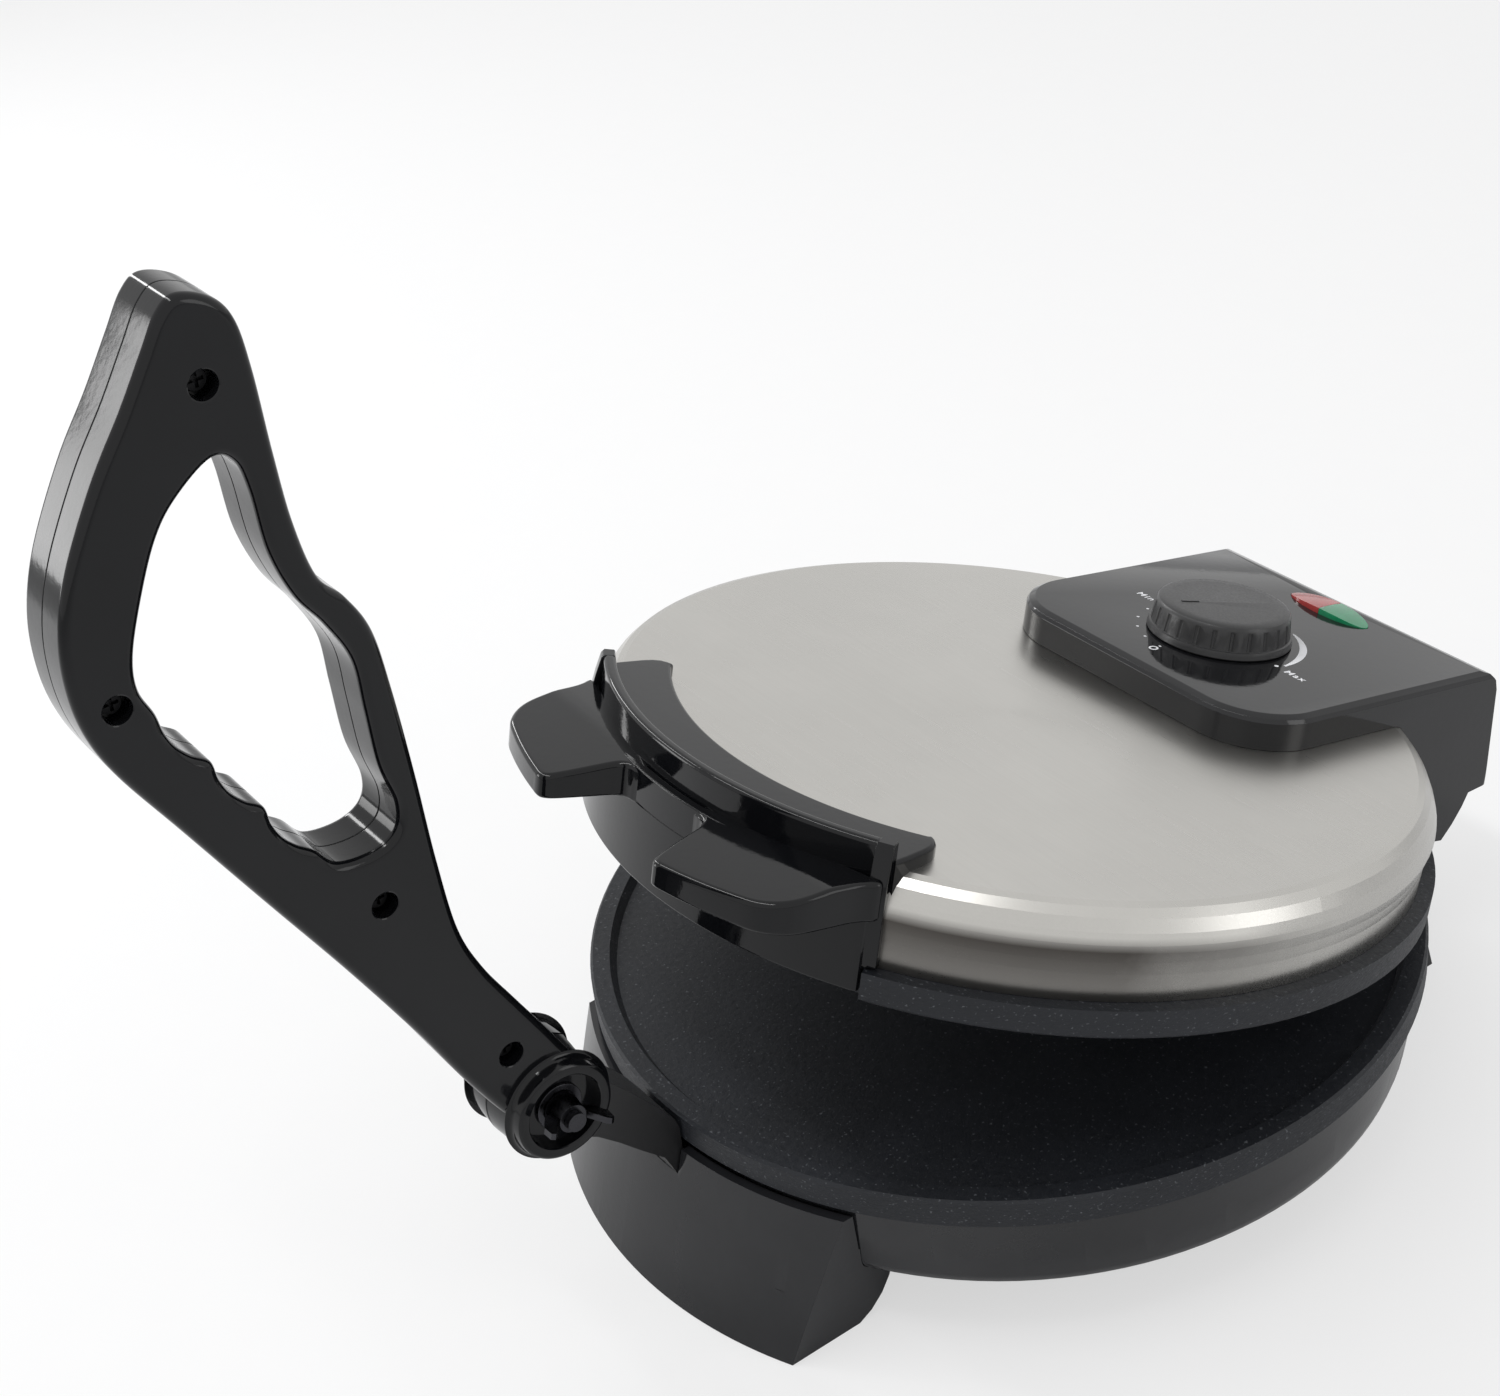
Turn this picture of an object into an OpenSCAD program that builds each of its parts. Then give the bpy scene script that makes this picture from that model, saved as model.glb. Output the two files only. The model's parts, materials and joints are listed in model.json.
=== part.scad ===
// Electric roti maker: two round plates, hinged lid with control housing, press lever in front.
// X right, Y back (hinge side), Z up, floor at z = 0. Sizes are counted from the plates' axis;
// row_y then moves everything so that the object's outline is centred over the origin.
// Lid parts are drawn in the closed position and then turned open about the hinge.

/* [Plates] */
// outer radius of both plate rims, 10 inch cooking surface plus the rim
plate_r = 135; // [110:0.5:160]
// radius of the flat cooking surface
cook_r = 126.5; // [100:0.5:150]
// height of the lower rim above the floor
rim_z = 62; // [50:0.5:80]
// height of the slate band on each plate
band_h = 9.3; // [6:0.1:14]
// depth of the lower cooking surface below the rim
dish_d = 3; // [1:0.5:6]
// radius of the tubular heating elements
element_r = 82; // [50:1:110]
// tube diameter of the heating elements
element_d = 6.6; // [5:0.1:9]

/* [Base] */
// radius of the bowl where it meets the lower plate
bowl_top_r = 133.4; // [120:0.1:150]
// radius of the bowl near its lower edge
bowl_low_r = 129.6; // [115:0.1:145]
// height of the bowl bottom above the floor
bowl_z = 23; // [15:0.5:35]
// wall thickness of the moulded base parts
base_wall = 2.6; // [2:0.1:4]
// radius of the foot blocks at the floor
block_low_r = 151.7; // [140:0.1:165]
// radius of the foot blocks at their top lip
block_top_r = 137; // [135.5:0.1:145]
// half width of the foot blocks at the floor
block_hw = 61.5; // [50:0.5:75]
// half width of the foot blocks at their top
block_top_hw = 68; // [62:0.5:80]

/* [Lid] */
// opening angle of the lid as it stands ajar
lid_open = 14.6; // [0:0.1:80]
// hinge axis behind the plate centre
hinge_y = 146.4; // [138:0.1:155]
// hinge axis above the floor
hinge_z = 71.7; // [65:0.1:85]
// flat top of the steel cover, lid closed
cover_z = 99.4; // [85:0.1:115]
// radius of the flat top of the steel cover
cover_top_r = 124.2; // [110:0.1:135]
// sheet thickness of the steel cover
cover_t = 0.8; // [0.5:0.1:1.5]

/* [Front handle] */
// outer radius of the lower skirt
skirt_r = 134; // [131:0.1:140]
// half width of the grip tabs where they leave the skirt
skirt_hw = 70; // [68:0.5:72]
// height of the top rib, lid closed
rib_z = 109; // [102:0.5:116]
// half width of the gap between the two grip tabs
tab_gap = 25; // [22:0.5:27]
// reach of the grip tabs from the plate centre
tab_reach = 160; // [152:0.5:162]

/* [Control housing] */
// half width of the control housing
box_hw = 61; // [45:0.5:75]
// front wall of the control housing
box_y0 = 42.5; // [30:0.5:60]
// top face of the control housing, lid closed
box_z = 111; // [104:0.5:120]
// knob position behind the plate centre
knob_y = 86.8; // [70:0.5:100]
// knob radius
knob_r = 24; // [15:0.1:30]
// knob height above the panel
knob_h = 11.4; // [8:0.5:20]
// centre of the pilot lens behind the plate centre
lens_y = 140.6; // [125:0.1:145]

/* [Lever] */
// lever pivot in front of the plate centre
pivot_y = -174.5; // [-185:0.5:-160]
// lever pivot above the floor
pivot_z = 91.5; // [80:0.5:100]
// half thickness of the lever body
lever_hw = 11.4; // [11:0.1:14]
// half length of the pivot barrel
barrel_hw = 16; // [15:0.5:20]
// radius of the pivot barrel at its end faces
barrel_r = 15.5; // [14:0.1:18]
// distance between the finger ridges in the hand hole
scallop_pitch = 21.2; // [18:0.1:22]
// depth of the finger hollows
scallop_d = 2.6; // [1:0.1:4]
// half width of the bracket that carries the lever
bracket_hw = 10; // [7:0.5:11]

/* [Hidden] */
$fn = 96;
eps = 0.01;
plate_top = rim_z + 0.3;
row_y = 55.96; // moves the whole object so that its outline is centred over the origin
pointer_turn = -25;
band_top = rim_z + band_h;
HX = [0, hinge_y, hinge_z];
PV = [0, pivot_y, pivot_z];

c_black = [0.07, 0.07, 0.08];
c_slate = [0.22, 0.24, 0.26];
c_steel = [0.74, 0.72, 0.69];
c_alu = [0.55, 0.55, 0.56];
c_brass = [0.62, 0.5, 0.3];
c_white = [0.85, 0.85, 0.83];

// placing helpers

module place() {
  translate([0, row_y, 0]) children();
}

module lid_pose() {
  place() translate(HX) rotate([-lid_open, 0, 0]) translate(-HX) children();
}

// extrude a (y, z) outline along X from x0 to x1
module along_x(x0, x1) {
  translate([x0, 0, 0]) rotate([90, 0, 90]) linear_extrude(x1 - x0) children();
}

// cylinder along X
module xcyl(y, z, r, x0, x1) {
  translate([x0, y, z]) rotate([0, 90, 0]) cylinder(h = x1 - x0, r = r);
}

// cylinder along Z
module zcyl(x, y, z0, z1, r) {
  translate([x, y, z0]) cylinder(h = z1 - z0, r = r);
}

function spline_pt(a, b, c, d, t) = 0.5 * (2 * b + (c - a) * t + (2 * a - 5 * b + 4 * c - d) * t * t
  + (3 * b - a - 3 * c + d) * t * t * t);
function spline(P, n) = let (m = len(P))
  [for (i = [0 : m - 1]) for (k = [0 : n - 1])
    spline_pt(P[(i + m - 1) % m], P[i], P[(i + 1) % m], P[(i + 2) % m], k / n)];

// plan outline with four rounded corners: front radius rf, rear radius rr
module rounded_plan(hw, y0, y1, rf, rr) {
  for (s = [-1, 1]) {
    translate([s * (hw - rf), y0 + rf]) circle(r = rf);
    translate([s * (hw - rr), y1 - rr]) circle(r = rr);
  }
  polygon([[-hw + rf, y0], [hw - rf, y0], [hw, y0 + rf], [hw, y1 - rr], [hw - rr, y1],
    [-hw + rr, y1], [-hw, y1 - rr], [-hw, y0 + rf]]);
}

// base

// solid of revolution inside the bowl's outer skin, grown by g
module bowl_solid(g = 0) {
  rotate_extrude() polygon([[0, bowl_z - g], [bowl_low_r - 4.4, bowl_z - g],
    [bowl_low_r - 2 + g * 0.5, bowl_z + 0.8 - g * 0.8], [bowl_low_r - 0.6 + g * 0.9, bowl_z + 2.4 - g * 0.4],
    [bowl_low_r + 0.2 + g, bowl_z + 5], [bowl_top_r + g, rim_z - band_h - 0.1], [0, rim_z - band_h - 0.1]]);
}

module base_housing() {
  place() color(c_black) difference() {
    union() {
      difference() {
        bowl_solid();
        rotate_extrude() polygon([[0, bowl_z + base_wall], [bowl_low_r - 5.6, bowl_z + base_wall],
          [bowl_low_r - 3.2, bowl_z + base_wall + 1.4], [bowl_low_r - 2.4, bowl_z + 6],
          [bowl_top_r - base_wall, rim_z - band_h + 1], [0, rim_z - band_h + 1]]);
      }
      // pillars that carry the lower plate
      for (a = [45 : 90 : 315]) rotate([0, 0, a]) zcyl(88, 0, bowl_z + 1, 42.9, 5.5);
      // bosses for the foot block screws and for the bracket screws
      for (s = [-1, 1]) for (t = [-1, 1]) zcyl(s * 40, t * 111, bowl_z + 1, 38, 4.5);
      // flat seat for the foot of the lever bracket
      translate([-bracket_hw - 0.2, -132.85, 33]) cube([2 * bracket_hw + 0.4, 6.85, 11]);
      // inner stiffening ring
      rotate_extrude() translate([104, bowl_z + 1]) square([2, 9]);
    }
    zcyl(0, 0, bowl_z - 1, bowl_z + 4, 70);
    for (a = [45 : 90 : 315]) rotate([0, 0, a]) zcyl(88, 0, bowl_z - 1, 44, 2.2);
    for (s = [-1, 1]) for (t = [-1, 1]) zcyl(s * 40, t * 111, bowl_z - 1, 36, 1.55);
    for (s = [-1, 1]) translate([s * 5.5, -140, 37.5]) rotate([-90, 0, 0]) cylinder(h = 20, r = 1.7);
    // wire passage to the rear block
    zcyl(0, 112, bowl_z - 1, bowl_z + 4, 6);
  }
}

module base_bottom_cover() {
  place() color(c_black) difference() {
    zcyl(0, 0, bowl_z - 2.3, bowl_z - 0.1, 96);
    for (a = [45 : 90 : 315]) rotate([0, 0, a]) {
      zcyl(88, 0, bowl_z - 3, bowl_z, 2.2);
      zcyl(88, 0, bowl_z - 3, bowl_z - 0.9, 4.4);
    }
    for (x = [-54 : 12 : 54]) translate([x - 2, -30, bowl_z - 3]) cube([4, 60, 4]);
  }
}

// width of a foot block, growing upwards, drawn in by g
module block_width(g) {
  translate([0, 180, 0]) rotate([90, 0, 0]) linear_extrude(360) polygon([[-block_hw + g, -2], [block_hw - g, -2],
    [block_top_hw - g, 50], [block_top_hw - g, 60], [-block_top_hw + g, 60], [-block_top_hw + g, 50]]);
}

// cone shell of a foot block, limited to the block's width, for the front (s = -1) or rear (s = 1)
module block_body(s, top) {
  difference() {
    intersection() {
      cylinder(h = top, r1 = block_low_r, r2 = block_low_r - (block_low_r - block_top_r) * top / 50);
      along_x(-90, 90) polygon([[s * 160, 0], [s * 113, 0], [s * 108.5, 3], [s * 104.5, 8],
        [s * 101.8, 14], [s * 100.3, 20], [s * 100, 25.4], [s * 100, 60], [s * 160, 60]]);
      block_width(0);
    }
    bowl_solid(0.15);
    // shadow gap between the top lip and the bowl
    translate([0, 0, 34]) cylinder(h = 30, r1 = 131.2, r2 = 136.6);
    // hollow underside
    intersection() {
      translate([0, 0, -1]) cylinder(h = bowl_z - 2, r1 = block_low_r - 2.8, r2 = block_low_r - 9);
      along_x(-90, 90) polygon([[s * 160, -1], [s * 116, -1], [s * 111.5, 3],
        [s * 107.6, 8], [s * 104.8, 14], [s * 103.4, 20], [s * 103.4, 30], [s * 160, 30]]);
      block_width(2.8);
    }
  }
  // bosses for the screws into the bowl and pads for the rubber feet
  for (x = [-40, 40]) zcyl(x, s * 111, 12, 22.6, 5.5);
  for (x = [-51, 51]) zcyl(x, s * 128, 2.5, 22.6, 7.5);
}

module block_cuts(s) {
  for (x = [-40, 40]) {
    zcyl(x, s * 111, 5, 30, 1.8);
    zcyl(x, s * 111, 5, 19, 3.6);
  }
  for (x = [-51, 51]) zcyl(x, s * 128, -1, 3.5, 6.1);
}

module front_block() {
  place() color(c_black) difference() {
    block_body(-1, 50);
    block_cuts(-1);
    // notch for the lever bracket
    along_x(-bracket_hw - 0.7, bracket_hw + 0.7) polygon([[-160, 60], [-160, 41.9], [-136.8, 41.9],
      [-136.8, 32.2], [-128, 32.2], [-128, 60]]);
  }
}

module rear_block() {
  place() color(c_black) difference() {
    union() {
      block_body(1, 48.4);
      // two hinge knuckles on arms that lean forward out of the way of the housing
      for (s = [-1, 1]) {
        x0 = s > 0 ? 44 : -56.4;
        xcyl(hinge_y, hinge_z, 10.4, x0, x0 + 12.4);
        along_x(x0, x0 + 12.4) polygon([[136.2, 72], [134.2, 62], [130, 52], [128, 46], [128, 24],
          [136, 24], [140.8, 44], [140.8, 57.5], [143.2, 61.5], [146.4, 66]]);
      }
      // flat seat round the mains inlet
      translate([0, 142, 12]) rotate([-90, 0, 0]) cylinder(h = 6.55, r = 8.6);
    }
    block_cuts(1);
    for (s = [-1, 1]) xcyl(hinge_y, hinge_z, 2.5, s > 0 ? 40 : -60, s > 0 ? 60 : -40);
    // inlet for the cord gland
    translate([0, 130, 12]) rotate([-90, 0, 0]) cylinder(h = 30, r = 5.05);
    translate([0, 148.55, 12]) rotate([-90, 0, 0]) cylinder(h = 10, r = 8.6);
    // keep the bowl and plate clear of the arms
    zcyl(0, 0, rim_z - band_h - 0.2, rim_z + 1, plate_r + 0.4);
  }
}

module lower_plate() {
  place() color(c_slate) difference() {
    union() {
      rotate_extrude() polygon([[0, rim_z - dish_d - 4], [129, rim_z - dish_d - 4],
        [130.4, rim_z - band_h], [plate_r, rim_z - band_h], [plate_r, rim_z - 0.9],
        [plate_r - 0.9, rim_z], [cook_r + 2, rim_z], [cook_r, rim_z - dish_d], [0, rim_z - dish_d]]);
      for (a = [45 : 90 : 315]) rotate([0, 0, a]) zcyl(88, 0, 43, 56, 5.5);
    }
    for (a = [45 : 90 : 315]) rotate([0, 0, a]) zcyl(88, 0, 42, 54, 1.95);
  }
}

// open ring of tube with two straight cold ends, lying under or over z
module element_ring(z, dir) {
  rotate([0, 0, 110]) rotate_extrude(angle = 320) translate([element_r - 12, z + dir * element_d / 2])
    circle(d = element_d, $fn = 32);
  for (a = [110, 70]) rotate([0, 0, a])
    translate([element_r - 12, 0, z + dir * element_d / 2]) {
      sphere(d = element_d, $fn = 32);
      translate([0, 0, dir > 0 ? 0 : -9]) cylinder(h = 9, d = element_d, $fn = 32);
      translate([0, 0, dir > 0 ? 9 : -14]) cylinder(h = 5, d = 3, $fn = 24);
    }
}

module lower_heating_element() {
  place() color(c_alu) element_ring(rim_z - dish_d - 4.05, -1);
}

module lower_heat_shield() {
  place() color(c_alu) difference() {
    rotate_extrude() polygon([[0, 41], [112, 41], [112, 46], [113, 46], [113, 40], [0, 40]]);
    for (a = [45 : 90 : 315]) rotate([0, 0, a]) zcyl(88, 0, 39, 42, 6);
    for (a = [110, 70]) rotate([0, 0, a]) zcyl(element_r - 12, 0, 39, 42, 5);
  }
}

module rubber_feet() {
  place() color([0.12, 0.12, 0.12]) for (x = [-51, 51]) for (y = [-128, 128]) {
    zcyl(x, y, 0, 3.4, 6);
  }
}

module lever_bracket() {
  place() color(c_black) difference() {
    union() {
      xcyl(pivot_y, pivot_z, 12.4, -bracket_hw, bracket_hw);
      along_x(-bracket_hw, bracket_hw) polygon([[pivot_y + 4, pivot_z + 11], [pivot_y + 19, pivot_z - 4.2],
        [-150.2, 80.7], [-141.2, 69.1], [-136.6, 61.5], [-135.6, 58], [-135.6, 50], [-132.9, 42.5],
        [-132.9, 33.4], [-136.4, 33.4], [-136.4, 42.2], [-139.2, 42.2], [-140.3, 45.3], [-142.2, 49.8],
        [-150.1, 57.9], [-156.2, 64.5], [pivot_y + 11.5, 71], [pivot_y - 3, pivot_z - 11.6]]);
      // strengthening webs on both faces
      for (s = [-1, 1]) xcyl(pivot_y, pivot_z, 9, s > 0 ? bracket_hw - 1 : -bracket_hw - 0.2,
        s > 0 ? bracket_hw + 0.2 : -bracket_hw + 1);
    }
    xcyl(pivot_y, pivot_z, 3.05, -12, 12);
    for (s = [-1, 1]) translate([s * 5.5, -136, 37.5]) rotate([-90, 0, 0]) cylinder(h = 6, r = 1.5);
  }
}

// pan head screw with a cross recess, head at the origin, shank towards +Z
module screw(d, len, hd, hh) {
  difference() {
    union() {
      cylinder(h = len, d = d, $fn = 32);
      translate([0, 0, -hh]) cylinder(h = hh, d1 = hd * 0.82, d2 = hd, $fn = 40);
    }
    translate([-hd * 0.3, -hd * 0.07, -hh - 1]) cube([hd * 0.6, hd * 0.14, 1 + hh * 0.55]);
    translate([-hd * 0.07, -hd * 0.3, -hh - 1]) cube([hd * 0.14, hd * 0.6, 1 + hh * 0.55]);
  }
}

module bracket_screws() {
  place() color(c_steel) for (s = [-1, 1]) translate([s * 5.5, -125.9, 37.5]) rotate([90, 0, 0]) screw(2.9, 9.6, 6, 2);
}

module base_screws() {
  place() color(c_steel) for (a = [45 : 90 : 315]) rotate([0, 0, a]) translate([88, 0, bowl_z - 0.93])
    screw(3.8, 29, 7.6, 2.1);
}

module block_screws() {
  place() color(c_steel) for (x = [-40, 40]) for (y = [-111, 111]) translate([x, y, 18.95])
    screw(3, 16, 6.4, 2);
}

module hinge_pins() {
  place() color(c_steel) for (s = [-1, 1]) xcyl(hinge_y, hinge_z, 2.5, s > 0 ? 43 : -59.8, s > 0 ? 59.8 : -43);
}

module cord_gland() {
  place() color(c_black) translate([0, 0, 12]) rotate([-90, 0, 0]) difference() {
    union() {
      translate([0, 0, 138.5]) cylinder(h = 10.7, r = 5);
      translate([0, 0, 148.6]) cylinder(h = 5.6, r1 = 7.4, r2 = 6.6);
    }
    translate([0, 0, 120]) cylinder(h = 40, r = 3.3);
  }
}

module terminal_block() {
  place() color(c_white) difference() {
    translate([-17, 64, bowl_z + base_wall + 0.1]) cube([34, 14, 9]);
    for (x = [-11.3, 0, 11.3]) {
      zcyl(x, 71, bowl_z + 6, 45, 2.4);
      translate([x, 60, bowl_z + 7.4]) rotate([-90, 0, 0]) cylinder(h = 22, r = 1.6);
    }
  }
}

// lid

// steel cover's side from the wall over the bulge to the flat top: radius and height from the top's
// edge, then the outward direction
cover_profile = [[6.2, -19.4, 1, 0], [6.8, -15.4, 1, -0.1], [7.7, -11.8, 1, 0], [7.4, -9.8, 1, 0.2],
  [6.2, -6.6, 0.9, 0.4], [4.3, -3.1, 0.8, 0.6], [2.2, -0.8, 0.5, 0.9], [0, 0, 0.1, 1]];

// solid of revolution inside the steel cover's skin, moved in or out by g
module cover_solid(g = 0) {
  rotate_extrude($fn = 128) polygon(concat([[0, band_top + 0.1 - max(g, 0)],
    [cover_top_r + 6 + g, band_top + 0.1 - max(g, 0)]],
    [for (p = cover_profile) [cover_top_r + p[0] + g * p[2], cover_z + p[1] + g * p[3]]],
    [[0, cover_z + g]]));
}

module lid_cover() {
  lid_pose() color(c_steel) difference() {
    cover_solid();
    difference() {
      cover_solid(-cover_t);
      zcyl(0, 0, band_top - 1, band_top + 0.1, 200);
    }
    zcyl(0, 0, band_top - 2, band_top + 0.3, 128.6);
    // passages for the shaft, the wires and the housing screws
    zcyl(0, knob_y, cover_z - 3, cover_z + 3, 6);
    zcyl(0, 112, cover_z - 3, cover_z + 3, 5);
    for (x = [-46, 46]) for (y = [62, 98]) zcyl(x, y, cover_z - 3, cover_z + 3, 1.8);
    for (a = [-14, 14]) rotate([0, 0, a]) zcyl(0, -115, cover_z - 3, cover_z + 3, 1.8);
  }
}

// sector of the front, half angle a degrees, between radii r0 and r1
module front_sector(a, r0, r1, z0, z1) {
  rotate([0, 0, -90 - a]) rotate_extrude(angle = 2 * a, $fn = 128)
    translate([r0, z0]) square([r1 - r0, z1 - z0]);
}

module upper_plate() {
  lid_pose() color(c_slate) difference() {
    union() {
      rotate_extrude($fn = 128) polygon([[0, plate_top + 1.4], [cook_r, plate_top + 1.4], [cook_r + 1.6, plate_top],
        [plate_r - 0.9, plate_top], [plate_r, plate_top + 0.9], [plate_r, band_top], [cook_r + 1.4, band_top],
        [cook_r + 1.4, plate_top + 5.4], [0, plate_top + 5.4]]);
      for (a = [0 : 90 : 270]) rotate([0, 0, a]) zcyl(100, 0, plate_top + 5, 79.4, 5);
    }
    // the handle skirt stands in this cut
    front_sector(32, 130.6, 145, 50, 90);
    for (a = [0 : 90 : 270]) rotate([0, 0, a]) zcyl(100, 0, plate_top + 7, 90, 1.6);
  }
}

module upper_heating_element() {
  lid_pose() color(c_alu) element_ring(plate_top + 5.45, 1);
}

module lid_heat_shield() {
  lid_pose() color(c_alu) difference() {
    rotate_extrude() polygon([[0, 79.5], [112, 79.5], [112, 75.5], [113, 75.5], [113, 80.5], [0, 80.5]]);
    for (a = [0 : 90 : 270]) rotate([0, 0, a]) zcyl(100, 0, 79, 82, 1.8);
    for (a = [110, 70]) rotate([0, 0, a]) zcyl(element_r - 12, 0, 79, 82, 5);
    zcyl(0, 30, 79, 82, 6);
  }
}

// plan of the two grip tabs
module tab_plan() {
  for (s = [-1, 1]) scale([s, 1]) polygon(concat(
    [[10, -112], [10, -135.2], [tab_gap - 9.5, -135.2], [tab_gap - 5, -135.8], [tab_gap - 2, -137.4],
      [tab_gap, -141], [tab_gap + 1.4, -tab_reach + 9], [tab_gap + 2.8, -tab_reach + 5.4]],
    [for (x = [tab_gap + 6 : 5 : 56]) [x, -sqrt(tab_reach * tab_reach - x * x)]],
    [[60, -148.3], [63, -146.6], [66, -143.7], [68.3, -140], [69.5, -135.6], [skirt_hw, -130], [skirt_hw, -115.5], [65, -112]]));
}

module lid_handle() {
  lid_pose() color(c_black) difference() {
    union() {
      // lower skirt, standing in front of the upper plate
      translate([0, 0, 64]) linear_extrude(34.6) polygon(concat(
        [for (a = [-31.5 : 1.5 : 31.5]) skirt_r * [sin(a), -cos(a)]],
        [for (a = [31.5 : -1.5 : -31.5]) 130.7 * [sin(a), -cos(a)]]));
      // end walls that run from the rib down to the slate band
      for (s = [-1, 1]) rotate([0, 0, s * 32.2 - 90 - 1.2]) rotate_extrude(angle = 2.4, $fn = 128)
        polygon([[129.8, band_top + 0.5], [skirt_r - 0.8, band_top + 0.5], [skirt_r - 0.4, 97.4], [131.2, rib_z - 0.4],
          [126.8, rib_z - 0.4], [126.8, cover_z + 4], [121, cover_z + 4], [121, 90], [129.8, 90]]);
      // rib and crescent plate on the steel top
      front_sector(31.2, 126.5, 130.5, 92, rib_z);
      intersection() {
        front_sector(36.5, 109, 131.2, 96, cover_z + 4.6);
        translate([0, -60, 0]) rotate([90, 0, 0]) linear_extrude(80) polygon([[-73.4, 99.6], [-66.5, cover_z + 5],
          [66.5, cover_z + 5], [73.4, 99.6], [73.4, 90], [-73.4, 90]]);
      }
      // grip tabs, sloping down towards their front edge
      intersection() {
        translate([0, 0, 80]) linear_extrude(30) tab_plan();
        along_x(-80, 80) polygon([[-165, 87.2], [-165, 93.4], [-127, 99.2], [-105, 99.2], [-105, 87.2]]);
        difference() {
          cylinder(h = 200, r = 170);
          translate([0, 0, -1]) cylinder(h = 210, r = 127);
        }
      }
      // fillet under each tab
      for (s = [-1, 1]) rotate([0, 0, s * 19.5]) front_sector(10.4, 132.4, 137.4, 80, 87);
    }
    cover_solid(0.06);
    for (a = [-14, 14]) rotate([0, 0, a]) zcyl(0, -115, cover_z - 3, cover_z + 3.4, 1.3);
    // shallow moulding crease between the tabs
    front_sector(5.6, skirt_r - 0.4, skirt_r + 2, 87.8, 88.4);
  }
}

module handle_screws() {
  lid_pose() color(c_steel) for (a = [-14, 14]) rotate([0, 0, a])
    translate([0, -115, cover_z - cover_t - 0.05]) screw(2.5, 3.8, 6, 2);
}

// side view outline of the control housing, moved inwards by g
module box_side(g = 0) {
  if (g == 0) polygon([[box_y0, 90], [box_y0, box_z], [149.4, box_z],
    [153.1, box_z - 1], [155.8, box_z - 3.4], [157.3, box_z - 7], [163.3, 67.8], [155.2, 66.4], [153.4, 61.4],
    [150.2, 55.4], [146.4, 50.2], [142.4, 50.6], [133, 58], [121, 72], [115, 90]]);
  else polygon([[box_y0 + g, 80], [box_y0 + g, box_z - g], [148.8, box_z - g], [152.1, box_z - g - 1.2],
    [154.4, box_z - 8.4], [160.6, 64], [160.6, 40], [110, 40]]);
}

// one slope of the rounded top edge: the plan drawn in from g0 at height z to g1 at height z + h
module housing_edge(z, h, g0, g1) {
  for (s = [-1, 1]) translate([s * (box_hw - 25), box_y0 + 25, z]) cylinder(h = h, r1 = 25 - g0, r2 = 25 - g1);
  along_x(-box_hw + 25, box_hw - 25) polygon([[box_y0 + g0, z], [165, z], [165, z + h], [box_y0 + g1, z + h]]);
  translate([0, 165, 0]) rotate([90, 0, 0]) linear_extrude(140 - box_y0)
    polygon([[-box_hw + g0, z], [box_hw - g0, z], [box_hw - g1, z + h], [-box_hw + g1, z + h]]);
}

module control_housing() {
  lid_pose() color(c_black) difference() {
    union() {
      difference() {
        intersection() {
          along_x(-box_hw, box_hw) box_side();
          union() {
            translate([0, 0, 40]) linear_extrude(box_z - 42.4) rounded_plan(box_hw, box_y0, 165, 25, 3);
            housing_edge(box_z - 2.4, 1.3, 0, 0.7);
            housing_edge(box_z - 1.1, 1.1, 0.7, 2.6);
          }
        }
        intersection() {
          along_x(-box_hw + 2.6, box_hw - 2.6) box_side(2.6);
          translate([0, 0, 30]) linear_extrude(90) rounded_plan(box_hw - 2.6, box_y0 + 2.6, 162.4, 22.4, 2);
        }
      }
      // hinge bosses on the inner faces of the ears
      for (s = [-1, 1]) xcyl(hinge_y, hinge_z, 9, s > 0 ? 56.8 : -59, s > 0 ? 59 : -56.8);
      // screw posts, lamp sockets, shaft collar
      for (x = [-46, 46]) for (y = [62, 98]) zcyl(x, y, cover_z + 0.1, box_z - 1, 4.5);
      for (x = [-8, 8]) zcyl(x, lens_y, box_z - 12, box_z - 2, 4.2);
      zcyl(0, knob_y, box_z - 5, box_z - 1, 6.5);
    }
    cover_solid(0.1);
    zcyl(0, 0, 40, band_top + 0.2, plate_r + 0.4);
    for (s = [-1, 1]) xcyl(hinge_y, hinge_z, 2.56, s > 0 ? 50 : -60, s > 0 ? 60 : -50);
    for (x = [-46, 46]) for (y = [62, 98]) zcyl(x, y, cover_z - 2, box_z - 2.6, 1.3);
    for (x = [-8, 8]) zcyl(x, lens_y, box_z - 14, box_z - 1.2, 2.7);
    zcyl(0, knob_y, box_z - 8, box_z + 1, 3.3);
    // seat of the pilot lenses
    translate([0, lens_y, box_z - 1.5]) linear_extrude(3) lens_plan(0.15);
  }
}

module lens_plan(g = 0) {
  polygon([for (a = [0 : 5 : 355]) [(16.8 + g) * cos(a), (5.7 + g) * sin(a)]]);
}

module lens(s) {
  lid_pose() intersection() {
    translate([0, lens_y, box_z - 1.45]) linear_extrude(4) lens_plan();
    translate([0, lens_y, box_z + 2.1 - 74]) sphere(r = 74, $fn = 160);
    translate([s > 0 ? 0.05 : -20, 100, 90]) cube([19.95, 80, 40]);
  }
}

module red_lens() {
  color([0.75, 0.2, 0.18]) lens(-1);
}

module green_lens() {
  color([0.1, 0.6, 0.35]) lens(1);
}

module pilot_lamps() {
  lid_pose() color([0.95, 0.75, 0.5]) for (x = [-8, 8]) zcyl(x, lens_y, box_z - 14, box_z - 2, 2.5);
}

module housing_screws() {
  lid_pose() color(c_steel) for (x = [-46, 46]) for (y = [62, 98])
    translate([x, y, cover_z - cover_t - 0.05]) screw(2.5, 8, 6, 2);
}

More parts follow.
